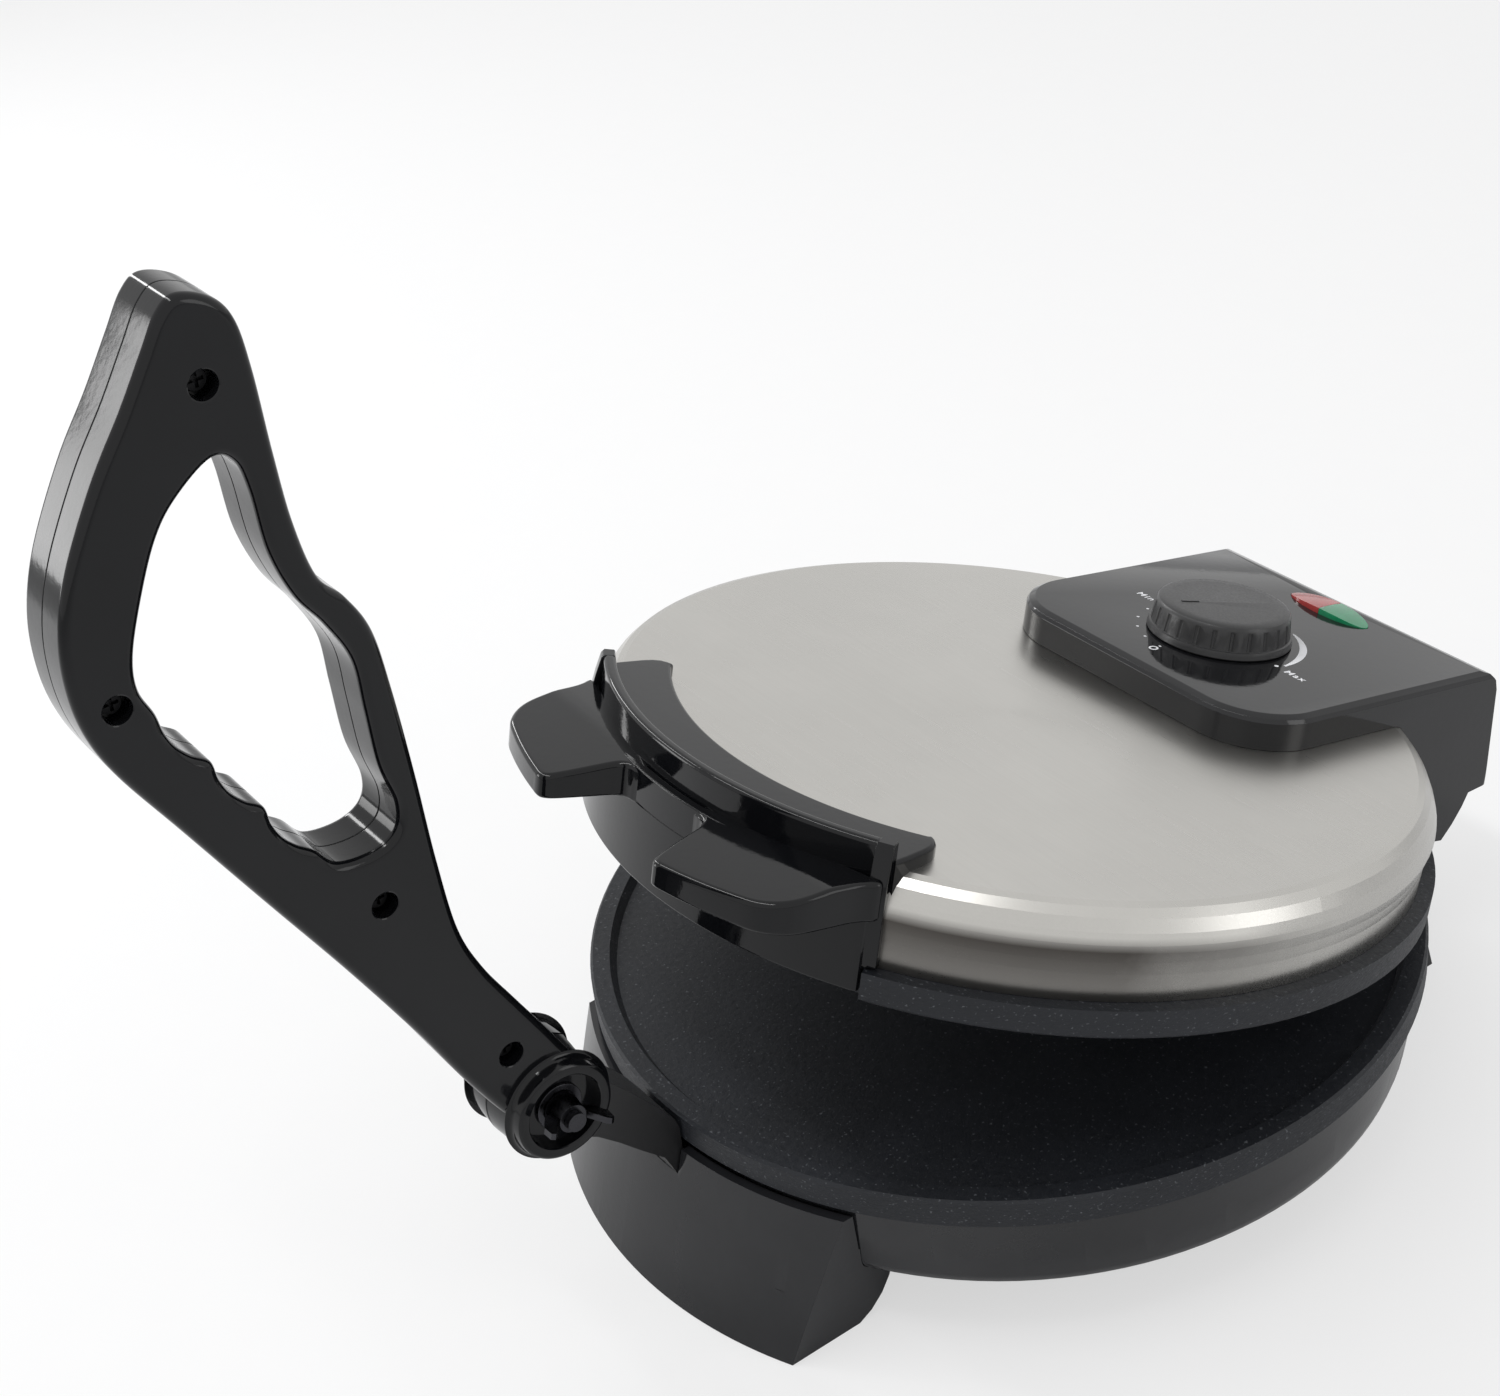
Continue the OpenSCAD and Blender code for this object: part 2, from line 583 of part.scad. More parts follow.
module thermostat() {
  lid_pose() color(c_brass) difference() {
    union() {
      translate([-15, knob_y - 12, cover_z - cover_t - 12.1]) cube([30, 24, 12]);
      translate([-20, knob_y - 4, cover_z - cover_t - 1.3]) cube([40, 8, 1.2]);
      for (x = [-8, 8]) translate([x - 2.4, knob_y + 11.9, cover_z - 10]) cube([4.8, 7, 0.8]);
    }
    zcyl(0, knob_y, cover_z - 9, cover_z + 3, 3.06);
  }
}

module thermostat_shaft() {
  lid_pose() color(c_steel) difference() {
    zcyl(0, knob_y, cover_z - 8, box_z + 7.9, 3);
    // drive flat
    translate([-4, knob_y + 2, box_z + 1]) cube([8, 3, 9]);
  }
}

module thermal_fuse() {
  lid_pose() color(c_white) translate([0, 30, 0]) {
    zcyl(0, 0, plate_top + 5.45, plate_top + 7.4, 8);
    zcyl(0, 0, plate_top + 7.3, plate_top + 10.6, 5);
  }
}

module control_knob() {
  lid_pose() color(c_black) translate([0, knob_y, box_z]) difference() {
    union() {
      rotate_extrude() polygon([[0, 0.4], [knob_r - 0.2, 0.4], [knob_r, 0.8], [knob_r - 0.4, 2.9],
        [knob_r - 1, 3.1], [knob_r - 1.9, knob_h - 1.6], [knob_r - 2.5, knob_h - 0.6], [knob_r - 3.6, knob_h - 0.1],
        [knob_r - 6, knob_h], [0, knob_h]]);
      // raised pointer bar
      rotate([0, 0, pointer_turn]) translate([-0.4, -15, knob_h - 0.2]) cube([0.8, 6, 0.45]);
    }
    // finger grooves
    for (a = [0 : 15 : 345]) rotate([0, 0, a + 7.5]) translate([knob_r - 0.6, 0, 3.4])
      rotate([0, -8, 0]) cylinder(h = 6, r = 0.8, $fn = 24);
    // hollow underside around the hub
    difference() {
      translate([0, 0, -1]) cylinder(h = knob_h - 1.4, r = knob_r - 4.2);
      translate([0, 0, -2]) cylinder(h = 20, r = 5.4);
    }
    difference() {
      translate([0, 0, -1]) cylinder(h = 9.2, r = 3);
      translate([-4, 2, 1]) cube([8, 3, 10]);
    }
  }
}

// lever

// outline of the lever in (y, z), from the top of the loop down its back edge and up the front
lever_outer = [[-229, 361.5], [-221, 358], [-216.5, 351], [-215, 338], [-214.5, 316], [-213.5, 297],
  [-210.5, 281], [-204.5, 272.5], [-199.5, 261], [-197.5, 243], [-196, 216], [-195, 188], [-193, 164],
  [-188, 148], [-180, 132], [-171, 114.5], [-165, 100], [-170, 88], [-184, 88], [-189, 94],
  [-200, 114.5], [-211, 138], [-226, 167.5], [-243, 199], [-259, 229], [-270.5, 250.5], [-275.5, 264],
  [-277, 277], [-275.5, 291], [-270, 306], [-259, 324.5], [-248.5, 338.5], [-240.5, 350], [-234.5, 358.5]];
// the hand hole: back wall downwards, then the finger hollows, which follow from the pitch and the depth
scallop_dir = 118.9;
scallop_0 = [-227.3, 207.5];
function scallop_pt(i, t) = scallop_0 + scallop_pitch * (i + t) * [cos(scallop_dir), sin(scallop_dir)]
  + scallop_d * sin(180 * t) * [-sin(scallop_dir), cos(scallop_dir)];
lever_hole = concat([[-230, 320.5], [-224.5, 317.5], [-222.5, 309], [-221.5, 292], [-217.5, 278],
  [-211.5, 267.5], [-206.5, 255], [-206, 240], [-205.5, 223], [-203, 210], [-205, 202.5], [-212, 199.5],
  [-222, 201]],
  [for (i = [0 : 2]) for (t = [0 : 0.25 : 0.75]) scallop_pt(i, t)],
  [scallop_pt(3, 0), [-260.5, 271], [-259.5, 280], [-254.5, 292.5], [-247.5, 306], [-240.5, 314]]);
lever_screw_pos = [[-228, 339], [-267, 269], [-212.5, 183], [-185.5, 116.5]];

// the outline with its hole, drawn in by g
module lever_plan(g = 0) {
  difference() {
    if (g == 0) polygon(spline(lever_outer, 4));
    else offset(delta = -g) polygon(spline(lever_outer, 4));
    if (g == 0) polygon(spline(lever_hole, 3));
    else offset(delta = g) polygon(spline(lever_hole, 3));
  }
}

// right half of the lever body with a rounded outer edge; the screw heads sit in it where heads is 1
module lever_half(heads) {
  difference() {
    union() {
      along_x(0.08, lever_hw - 2) lever_plan();
      along_x(lever_hw - 2.1, lever_hw - 1.1) lever_plan(0.3);
      along_x(lever_hw - 1.2, lever_hw - 0.4) lever_plan(0.8);
      along_x(lever_hw - 0.5, lever_hw) lever_plan(1.5);
      // pivot barrel with its draft
      translate([0.08, pivot_y, pivot_z]) rotate([0, 90, 0]) rotate_extrude() polygon([[0, 0],
        [barrel_r + 1.4, 0], [barrel_r + 0.1, barrel_hw - 1.1], [barrel_r - 0.9, barrel_hw - 0.08], [0, barrel_hw - 0.08]]);
    }
    // hollow inside, open at the parting face
    difference() {
      along_x(-1, lever_hw - 3.4) difference() {
        lever_plan(3);
        translate([-195, 100]) square([60, 50], center = true);
      }
      for (p = lever_screw_pos) xcyl(p[0], p[1], 5.8, -2, lever_hw);
    }
    // room for the bracket's nose and its arm over the whole swing
    along_x(-1, bracket_hw + 0.6) translate([pivot_y, pivot_z]) {
      circle(r = 13.4);
      polygon([[0, 0], [-3, -12.5], [1.2, -15.8], [4, -40], [60, -40], [60, 40], [30, 22], [10.6, 12], [7.2, 11.6]]);
    }
    // recess for the wing nut or the bolt head, bolt bore
    xcyl(pivot_y, pivot_z, 12, lever_hw + 0.2, barrel_hw + 1);
    xcyl(pivot_y, pivot_z, 3.02, -1, barrel_hw + 1);
    // screw holes
    for (p = lever_screw_pos) {
      if (heads == 1) xcyl(p[0], p[1], 4.1, 5, lever_hw + 1);
      xcyl(p[0], p[1], 1.7, -1, 6);
    }
  }
}

module lever_shell_right() {
  place() color(c_black) lever_half(1);
}

module lever_shell_left() {
  place() color(c_black) mirror([1, 0, 0]) lever_half(0);
}

module lever_screws() {
  place() color(c_steel) for (p = lever_screw_pos)
    translate([5.04, p[0], p[1]]) rotate([0, -90, 0]) screw(3.2, 10, 6.6, 2);
}

module pivot_bolt() {
  place() color(c_steel) union() {
    xcyl(pivot_y, pivot_z, 3, -lever_hw - 0.3, 22);
    translate([-lever_hw - 0.24, pivot_y, pivot_z]) rotate([0, -90, 0])
      cylinder(h = 3.6, r1 = 7.6, r2 = 6.4);
  }
}

module pivot_washer() {
  place() color(c_steel) difference() {
    xcyl(pivot_y, pivot_z, 7.4, lever_hw + 0.25, lever_hw + 1.35);
    xcyl(pivot_y, pivot_z, 3.08, lever_hw - 1, lever_hw + 3);
  }
}

module wing_nut() {
  place() color([0.16, 0.16, 0.17]) translate([lever_hw + 1.7, pivot_y, pivot_z]) difference() {
    union() {
      rotate([0, 90, 0]) cylinder(h = 6.6, r1 = 5.4, r2 = 4.4);
      // two wings that lean outwards
      for (a = [-16, 164]) rotate([a, 0, 0]) translate([0, 0, -1]) linear_extrude(2)
        polygon([[0.6, 3], [3.6, 3], [11.4, 8.2], [12.4, 9.4], [11.8, 10.6], [8.4, 10.8], [4, 8], [2.4, 5]]);
    }
    translate([-1, 0, 0]) rotate([0, 90, 0]) cylinder(h = 14, r = 3.08);
  }
}

base_housing();
base_bottom_cover();
front_block();
rear_block();
lower_plate();
lower_heating_element();
lower_heat_shield();
rubber_feet();
lever_bracket();
bracket_screws();
base_screws();
block_screws();
hinge_pins();
cord_gland();
terminal_block();
lid_cover();
upper_plate();
upper_heating_element();
lid_heat_shield();
lid_handle();
handle_screws();
control_housing();
housing_screws();
thermostat();
red_lens();
green_lens();
pilot_lamps();
thermal_fuse();
control_knob();
thermostat_shaft();
lever_shell_right();
lever_shell_left();
lever_screws();
pivot_bolt();
pivot_washer();
wing_nut();
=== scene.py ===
import json
import math

import bmesh
import bpy
from mathutils import Matrix, Vector
from mathutils.geometry import tessellate_polygon

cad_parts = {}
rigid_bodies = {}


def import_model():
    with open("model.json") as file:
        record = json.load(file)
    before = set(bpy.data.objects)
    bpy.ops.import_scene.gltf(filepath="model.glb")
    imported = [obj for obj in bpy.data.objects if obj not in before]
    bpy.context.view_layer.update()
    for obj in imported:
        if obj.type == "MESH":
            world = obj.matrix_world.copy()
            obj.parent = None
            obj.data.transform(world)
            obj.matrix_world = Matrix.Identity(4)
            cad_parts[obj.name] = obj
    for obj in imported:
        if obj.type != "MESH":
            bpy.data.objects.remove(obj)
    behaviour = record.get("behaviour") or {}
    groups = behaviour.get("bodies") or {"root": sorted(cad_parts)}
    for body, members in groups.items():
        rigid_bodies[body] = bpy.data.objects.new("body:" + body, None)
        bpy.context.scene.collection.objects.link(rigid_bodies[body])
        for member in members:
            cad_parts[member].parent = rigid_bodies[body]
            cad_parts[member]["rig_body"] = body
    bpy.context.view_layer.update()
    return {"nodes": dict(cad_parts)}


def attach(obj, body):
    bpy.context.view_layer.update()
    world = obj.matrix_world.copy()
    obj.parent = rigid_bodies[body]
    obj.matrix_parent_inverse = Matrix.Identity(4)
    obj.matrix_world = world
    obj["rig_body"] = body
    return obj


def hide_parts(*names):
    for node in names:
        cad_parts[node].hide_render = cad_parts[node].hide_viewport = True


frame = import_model()
NODES = frame["nodes"]

# places in millimetres, in the plates' own coordinates with the lid closed, as in the part's source

MM = 0.001  # in metres
ROW_Y = 55.96  # from the row frame's origin back to the plates' axis
HINGE = Vector((0, 146.4, 71.7))
LID_OPEN = math.radians(14.6)  # from closed to the photographed pose
PIVOT = Vector((0, -174.5, 91.5))  # of the lever
BAND_TOP = 71.3  # top of the upper plate's slate band
PANEL_Z = 111.0  # top of the control housing
KNOB_Y = 86.8


def place_matrix():
    """From the plates' own coordinates in millimetres to the row frame in metres."""
    return Matrix.Scale(MM, 4) @ Matrix.Translation((0, ROW_Y, 0))


def lid_matrix():
    """The same for lid parts, which are drawn closed: turned open about the hinge."""
    turn = Matrix.Translation(HINGE) @ Matrix.Rotation(-LID_OPEN, 4, "X") @ Matrix.Translation(-HINGE)
    return place_matrix() @ turn


BASE = place_matrix()
LID = lid_matrix()
# lays a flat drawing into the y and z axes, so that its height runs along x
ALONG_X = Matrix(((0, 0, 1, 0), (1, 0, 0, 0), (0, 1, 0, 0), (0, 0, 0, 1)))
# turns the axis of a turned shape from z to x
AXIS_TO_X = Matrix.Rotation(math.pi / 2, 4, "Y")
MIRROR_X = Matrix.Scale(-1, 4, (1, 0, 0))


def add_object(name, data):
    """New object in the scene."""
    obj = bpy.data.objects.new(name, data)
    bpy.context.scene.collection.objects.link(obj)
    return obj


# camera, fitted to the rims of the two plates in the photograph

cam_data = bpy.data.cameras.new("camera")
cam_data.lens = 62.4
cam_data.sensor_width = 36
cam_data.clip_start = 0.05
cam_data.clip_end = 50
cam = add_object("camera", cam_data)
cam_x = Vector((0.58425741, 0.80499812, -0.1030597))
cam_y = Vector((-0.38301186, 0.38545911, 0.83947793))
cam_z = Vector((0.71550345, -0.45099811, 0.53353117))
basis = Matrix((cam_x, cam_y, cam_z)).transposed().to_4x4()
cam.matrix_world = Matrix.Translation((0.53181154, -0.36518491, 0.5808457)) @ basis
bpy.context.scene.camera = cam
bpy.context.scene.view_settings.view_transform = "Standard"


# materials

def shade(color, factor=1.0):
    """Colour made darker or lighter, with its alpha."""
    return (*(c * factor for c in color), 1)


class Nodes:
    """Short ways to fill a node tree. A value is a number, a colour, a vector or a node's output."""

    def __init__(self, tree):
        self.tree = tree

    def fill(self, socket, value):
        if isinstance(value, bpy.types.NodeSocket):
            self.tree.links.new(value, socket)
        else:
            socket.default_value = value

    def feed(self, node, **values):
        """Fills a node's inputs by name, with an underscore for each space in the name."""
        for key, value in values.items():
            self.fill(node.inputs[key.replace("_", " ")], value)

    def add(self, kind, **values):
        node = self.tree.nodes.new(kind)
        self.feed(node, **values)
        return node

    def math(self, operation, *values):
        node = self.add("ShaderNodeMath")
        node.operation = operation
        for socket, value in zip(node.inputs, values):
            self.fill(socket, value)
        return node.outputs[0]

    def weighted(self, *terms):
        """Sum of two terms, each a value and its factor."""
        products = [self.math("MULTIPLY", value, factor) for value, factor in terms]
        return self.math("ADD", *products)

    def ramp(self, value, low, high, start, end):
        """Carries the value from low..high to start..end."""
        node = self.add("ShaderNodeMapRange", Value=value)
        self.feed(node, From_Min=low, From_Max=high, To_Min=start, To_Max=end)
        return node.outputs["Result"]

    def mix(self, share, a, b):
        """Colour between a and b. Inputs 6 and 7 and output 2 are the node's colour sockets."""
        node = self.add("ShaderNodeMix")
        node.data_type = "RGBA"
        self.feed(node, Factor=share)
        self.fill(node.inputs[6], a)
        self.fill(node.inputs[7], b)
        return node.outputs[2]

    def mix_shaders(self, share, a, b):
        node = self.add("ShaderNodeMixShader")
        for socket, value in zip(node.inputs, (share, a, b)):
            self.fill(socket, value)
        return node.outputs[0]


class Material(Nodes):
    """Material with a principled shader, drawn in the object's own coordinates in metres."""

    def __init__(self, name):
        self.made = bpy.data.materials.new(name)
        self.made.use_nodes = True
        super().__init__(self.made.node_tree)
        self.shader = self.tree.nodes["Principled BSDF"]
        self.place = self.add("ShaderNodeTexCoord").outputs["Object"]

    def mapped(self, **values):
        return self.add("ShaderNodeMapping", Vector=self.place, **values).outputs["Vector"]

    def noise(self, scale, detail, rough, squeeze=None):
        """Noise, squeezed along each axis where that is given."""
        place = self.mapped(Scale=squeeze) if squeeze else self.place
        node = self.add("ShaderNodeTexNoise", Scale=scale, Detail=detail, Roughness=rough, Vector=place)
        return node.outputs["Fac"]

    def tinted(self, value, color, dark, light, low=0.3, high=0.7):
        """The colour, from its dark to its light shade where the value goes from low to high."""
        return self.mix(self.ramp(value, low, high, 0, 1), shade(color, dark), shade(color, light))

    def bump(self, height, distance, strength):
        node = self.add("ShaderNodeBump", Height=height, Distance=distance, Strength=strength)
        return node.outputs["Normal"]

    def surface(self, **values):
        """Feeds the principled shader and gives the finished material."""
        self.feed(self.shader, **values)
        return self.made


def gloss_plastic(name, base, rough, ior):
    """Moulded glossy plastic: slight flow mottling, handling haze and orange peel."""
    m = Material(name)
    haze = m.noise(scale=22, detail=4, rough=0.6)
    fine = m.noise(scale=160, detail=3, rough=0.6)
    peel = m.noise(scale=480, detail=2, rough=0.5)
    return m.surface(
        Base_Color=m.tinted(haze, base, dark=0.85, light=1.2, low=0.35),
        Roughness=m.ramp(m.weighted((haze, 0.7), (fine, 0.3)), 0.35, 0.68, *rough),
        Normal=m.bump(peel, distance=0.04 * MM, strength=0.5),
        IOR=ior)


def cast_coating(name):
    """Slate grey non-stick coating over sand cast metal, with tiny pale specks."""
    slate = (0.011, 0.0125, 0.016)
    pale = (0.16, 0.17, 0.185)
    m = Material(name)
    grit = m.noise(scale=520, detail=5, rough=0.65, squeeze=(1, 1, 3.2))
    cloud = m.noise(scale=30, detail=3, rough=0.5)
    specks = m.noise(scale=900, detail=1, rough=0.4, squeeze=(1, 1, 1.6))
    body = m.tinted(cloud, slate, dark=0.8, light=1.25)
    return m.surface(
        Base_Color=m.mix(m.ramp(specks, 0.66, 0.78, 0, 0.5), body, shade(pale)),
        Roughness=m.ramp(grit, 0.3, 0.7, 0.42, 0.62),
        Normal=m.bump(grit, distance=0.22 * MM, strength=0.75),
        IOR=1.38)


def painted_reflection_share(m, cloud, fine):
    """Share of the darker colour low on the steel's side wall, which grows towards the front.

    The photograph has a dark reflection there, and this colour stands in for it under any light.
    It is worked out in millimetres, in the plates' own coordinates with the lid closed.
    """
    back = LID.inverted()
    closed = m.mapped(Location=back.translation, Rotation=back.to_euler(), Scale=back.to_scale())
    x, y, z = m.add("ShaderNodeSeparateXYZ", Vector=closed).outputs
    forward = m.math("MULTIPLY", y, -1)
    turn = m.math("ARCTAN2", forward, m.math("ABSOLUTE", x))
    foot = 74
    wall_top = 88
    shoulder = 92.5
    ahead = m.ramp(m.weighted((turn, 1), (fine, 0.25)), 0.1, 0.62, 0, 1)
    below = m.ramp(m.weighted((z, 1), (cloud, 2)), wall_top + 0.5, shoulder, 1, 0)
    rise = m.ramp(z, foot, wall_top, 0.66, 0.95)
    return m.math("MULTIPLY", m.math("MULTIPLY", ahead, below), rise)


def brushed_steel(name):
    """Satin stainless steel with a very fine directional brush, soft clouding and a painted dark reflection
    low on the side wall towards the front.
    """
    steel = (0.5, 0.49, 0.465)
    # colour of a painted dark reflection low on the side wall, strongest towards the front
    painted_reflection_color = (0.05, 0.044, 0.039)
    m = Material(name)
    brush = m.noise(scale=1, detail=5, rough=0.7, squeeze=(30, 1500, 1500))
    cloud = m.noise(scale=7, detail=2, rough=0.45)
    fine = m.noise(scale=45, detail=4, rough=0.6)
    tone = m.weighted((cloud, 0.7), (fine, 0.3))
    body = m.tinted(tone, steel, dark=0.94, light=1.05, low=0.35, high=0.65)
    body = m.mix(m.ramp(brush, 0.3, 0.7, 0, 0.35), body, shade(steel, 0.9))
    return m.surface(
        Base_Color=m.mix(painted_reflection_share(m, cloud, fine), body, shade(painted_reflection_color)),
        Roughness=m.ramp(m.weighted((brush, 0.4), (tone, 0.6)), 0.35, 0.65, 0.25, 0.33),
        Normal=m.bump(brush, distance=0.004 * MM, strength=0.4),
        Metallic=1,
        Anisotropic=0.45)


def plain_metal(name, base, rough=(0.25, 0.4), grain=0.01 * MM):
    """Bare or blackened metal with a light grain."""
    m = Material(name)
    g = m.noise(scale=300, detail=4, rough=0.6)
    return m.surface(
        Base_Color=m.tinted(g, base, dark=0.85, light=1.1),
        Roughness=m.ramp(g, 0.3, 0.7, *rough),
        Normal=m.bump(g, distance=grain, strength=0.6),
        Metallic=1)


def matte_plastic(name, base, rough, grain):
    """Plastic, rubber, paint or print with a fine matte grain and faint clouding."""
    m = Material(name)
    g = m.noise(scale=1400, detail=2, rough=0.5)
    cloud = m.noise(scale=40, detail=3, rough=0.5)
    return m.surface(
        Base_Color=m.tinted(cloud, base, dark=0.85, light=1.2),
        Roughness=m.ramp(g, 0.3, 0.7, *rough),
        Normal=m.bump(g, distance=grain, strength=0.6))


def lens_plastic(name, base):
    """Clear coloured plastic that lets some light into its depth."""
    m = Material(name)
    cloud = m.noise(scale=180, detail=2, rough=0.5)
    ripple = m.noise(scale=350, detail=1, rough=0.4)
    return m.surface(
        Base_Color=m.tinted(cloud, base, dark=0.8, light=1),
        Roughness=m.ramp(cloud, 0.3, 0.7, 0.08, 0.16),
        Normal=m.bump(ripple, distance=0.03 * MM, strength=0.4),
        IOR=1.5,
        Coat_Weight=0.4,
        Transmission_Weight=0.25,
        Subsurface_Weight=0.3,
        Subsurface_Radius=(4 * MM, 4 * MM, 4 * MM),
        Subsurface_Scale=1)


BLACK = (0.0045, 0.0048, 0.0058)

M_BLACK = gloss_plastic("black_gloss", BLACK, rough=(0.05, 0.11), ior=1.36)
M_PANEL = gloss_plastic("panel_gloss", (0.009, 0.0092, 0.0105), rough=(0.06, 0.12), ior=1.43)
M_BASE = gloss_plastic("base_gloss", (0.016, 0.0165, 0.0185), rough=(0.08, 0.14), ior=1.4)
M_LEVER = gloss_plastic("lever_gloss", BLACK, rough=(0.1, 0.13), ior=1.36)
M_PLATE = cast_coating("slate_coating")
M_STEEL = brushed_steel("satin_steel")
M_DARK_SCREW = plain_metal("blackened_screw", (0.02, 0.02, 0.021), rough=(0.4, 0.55))
M_ALU = plain_metal("aluminium", (0.55, 0.55, 0.56), rough=(0.3, 0.5))
M_SCREW = plain_metal("screw_steel", (0.5, 0.5, 0.52))
M_BRASS = plain_metal("brass", (0.55, 0.42, 0.2))
M_WING = plain_metal("wing_nut_metal", (0.05, 0.05, 0.055), rough=(0.2, 0.34), grain=0.02 * MM)
M_KNOB = matte_plastic("knob_plastic", (0.015, 0.015, 0.016), rough=(0.3, 0.42), grain=0.03 * MM)
M_RUBBER = matte_plastic("rubber", (0.016, 0.016, 0.016), rough=(0.6, 0.8), grain=0.06 * MM)
M_BRACKET = matte_plastic("bracket_paint", (0.012, 0.012, 0.013), rough=(0.3, 0.42), grain=0.04 * MM)
M_WHITE = matte_plastic("white_insulator", (0.72, 0.7, 0.66), rough=(0.4, 0.6), grain=0.04 * MM)
M_INK = matte_plastic("white_print", (0.88, 0.89, 0.92), rough=(0.4, 0.5), grain=0.01 * MM)
M_RED = lens_plastic("red_lens", (0.55, 0.06, 0.055))
M_GREEN = lens_plastic("green_lens", (0.02, 0.36, 0.16))
M_LAMP = lens_plastic("lamp_glass", (0.75, 0.6, 0.45))

CAD_MATERIALS = {
    "base_housing": M_BASE, "base_bottom_cover": M_BASE, "front_block": M_BASE, "rear_block": M_BASE,
    "lower_plate": M_PLATE, "lower_heating_element": M_ALU, "lower_heat_shield": M_ALU,
    "rubber_feet": M_RUBBER, "lever_bracket": M_BRACKET, "bracket_screws": M_SCREW,
    "base_screws": M_SCREW, "block_screws": M_SCREW, "hinge_pins": M_SCREW, "cord_gland": M_RUBBER,
    "terminal_block": M_WHITE, "lid_cover": M_STEEL, "upper_plate": M_PLATE,
    "upper_heating_element": M_ALU, "lid_heat_shield": M_ALU, "lid_handle": M_BLACK,
    "handle_screws": M_SCREW, "control_housing": M_PANEL, "housing_screws": M_SCREW,
    "thermostat": M_BRASS, "red_lens": M_RED, "green_lens": M_GREEN, "pilot_lamps": M_LAMP,
    "thermal_fuse": M_WHITE, "control_knob": M_KNOB, "thermostat_shaft": M_SCREW,
    "lever_shell_right": M_LEVER, "lever_shell_left": M_LEVER, "lever_screws": M_DARK_SCREW,
    "pivot_bolt": M_WING, "pivot_washer": M_WING, "wing_nut": M_WING,
}
for name, material in CAD_MATERIALS.items():
    node = NODES[name]
    for material_slot in node.material_slots:
        material_slot.material = material
    if not node.material_slots:
        node.data.materials.append(material)


# outlines

NO_LENGTH = 1e-6


def polar(r, a):
    """Point at radius r round the plates' axis, a counted in degrees from the front to the right."""
    return Vector((r * math.sin(math.radians(a)), -r * math.cos(math.radians(a))))


def arc(r, a0, a1, n):
    """Points of n steps on a circle round the plates' axis."""
    return [polar(r, a0 + (a1 - a0) * k / n) for k in range(n + 1)]


def mirrored(points):
    """The same stretch of an outline on the other side of the object."""
    return [Vector((-p.x, p.y)) for p in reversed(points)]


def oval(center, rx, ry):
    """Oval outline round a centre."""
    n = 28
    turns = [2 * math.pi * k / n for k in range(n)]
    return [Vector((center.x + rx * math.cos(a), center.y + ry * math.sin(a))) for a in turns]


def spline(points, n):
    """Closed smooth outline through the points, n steps between each pair."""
    out = []
    for i in range(len(points)):
        a, b, c, d = (Vector(points[(i + k - 1) % len(points)]) for k in range(4))
        slope = c - a
        bend = 2 * a - 5 * b + 4 * c - d
        twist = 3 * b - a - 3 * c + d
        for k in range(n):
            t = k / n
            out.append(0.5 * (2 * b + slope * t + bend * t * t + twist * t ** 3))
    return out


def area_of(loop):
    """Area inside an outline, negative where it runs clockwise."""
    return 0.5 * sum(p.x * q.y - q.x * p.y for p, q in zip(loop, loop[1:] + loop[:1]))


def drawn_in(loop, g):
    """The outline moved by g to its left, which is into the material for a counter-clockwise outline.

    At a sharp corner the move is kept below g / least.
    """
    least = 0.5
    out = []
    for i, p in enumerate(loop):
        before = p - loop[i - 1]
        after = loop[(i + 1) % len(loop)] - p
        before = before.normalized() if before.length > NO_LENGTH else after.normalized()
        after = after.normalized() if after.length > NO_LENGTH else before
        left = Vector((-after.y, after.x))
        middle = Vector((-before.y - after.y, before.x + after.x))
        middle = middle.normalized() if middle.length > NO_LENGTH else left
        out.append(p + middle * (g / max(least, middle.dot(left))))
    return out


def rounded_layers(z0, z1, r0, r1, steps):
    """Layers (height, drawing in) of a slab with a round of r0 at z0 and r1 at z1."""
    turns = [math.pi / 2 * k / steps for k in range(steps + 1)]
    low = [(z0, 0.0)]
    high = [(z1, 0.0)]
    if r0 > 0:
        low = [(z0 + r0 - r0 * math.cos(a), r0 - r0 * math.sin(a)) for a in turns]
    if r1 > 0:
        high = [(z1 - r1 + r1 * math.sin(a), r1 - r1 * math.cos(a)) for a in turns]
    return low + high


# mesh building, in millimetres

MERGE = 1e-5  # points closer than this become one


def slab(loops):
    """Mesh data from outlines, each (points, layers): walls between layers and flat ends.

    The first outline is the rim, the others are holes. Points are (x, y), layers give z.
    """
    bm = bmesh.new()
    ends = ([], [])
    for k, (loop, layers) in enumerate(loops):
        loop = [Vector(q) for q in loop]
        if (area_of(loop) > 0) != (k == 0):
            loop.reverse()
        rings = []
        for z, g in layers:
            rings.append([bm.verts.new((q.x, q.y, z)) for q in drawn_in(loop, g)])
        for lo, hi in zip(rings, rings[1:]):
            for i in range(len(lo)):
                j = (i + 1) % len(lo)
                bm.faces.new((lo[i], lo[j], hi[j], hi[i]))
        ends[0].append(rings[0])
        ends[1].append(rings[-1])
    for rings in ends:
        flat = [v for ring in rings for v in ring]
        for corners in tessellate_polygon([[v.co for v in ring] for ring in rings]):
            bm.faces.new([flat[i] for i in corners])
    bmesh.ops.recalc_face_normals(bm, faces=bm.faces)
    return bm


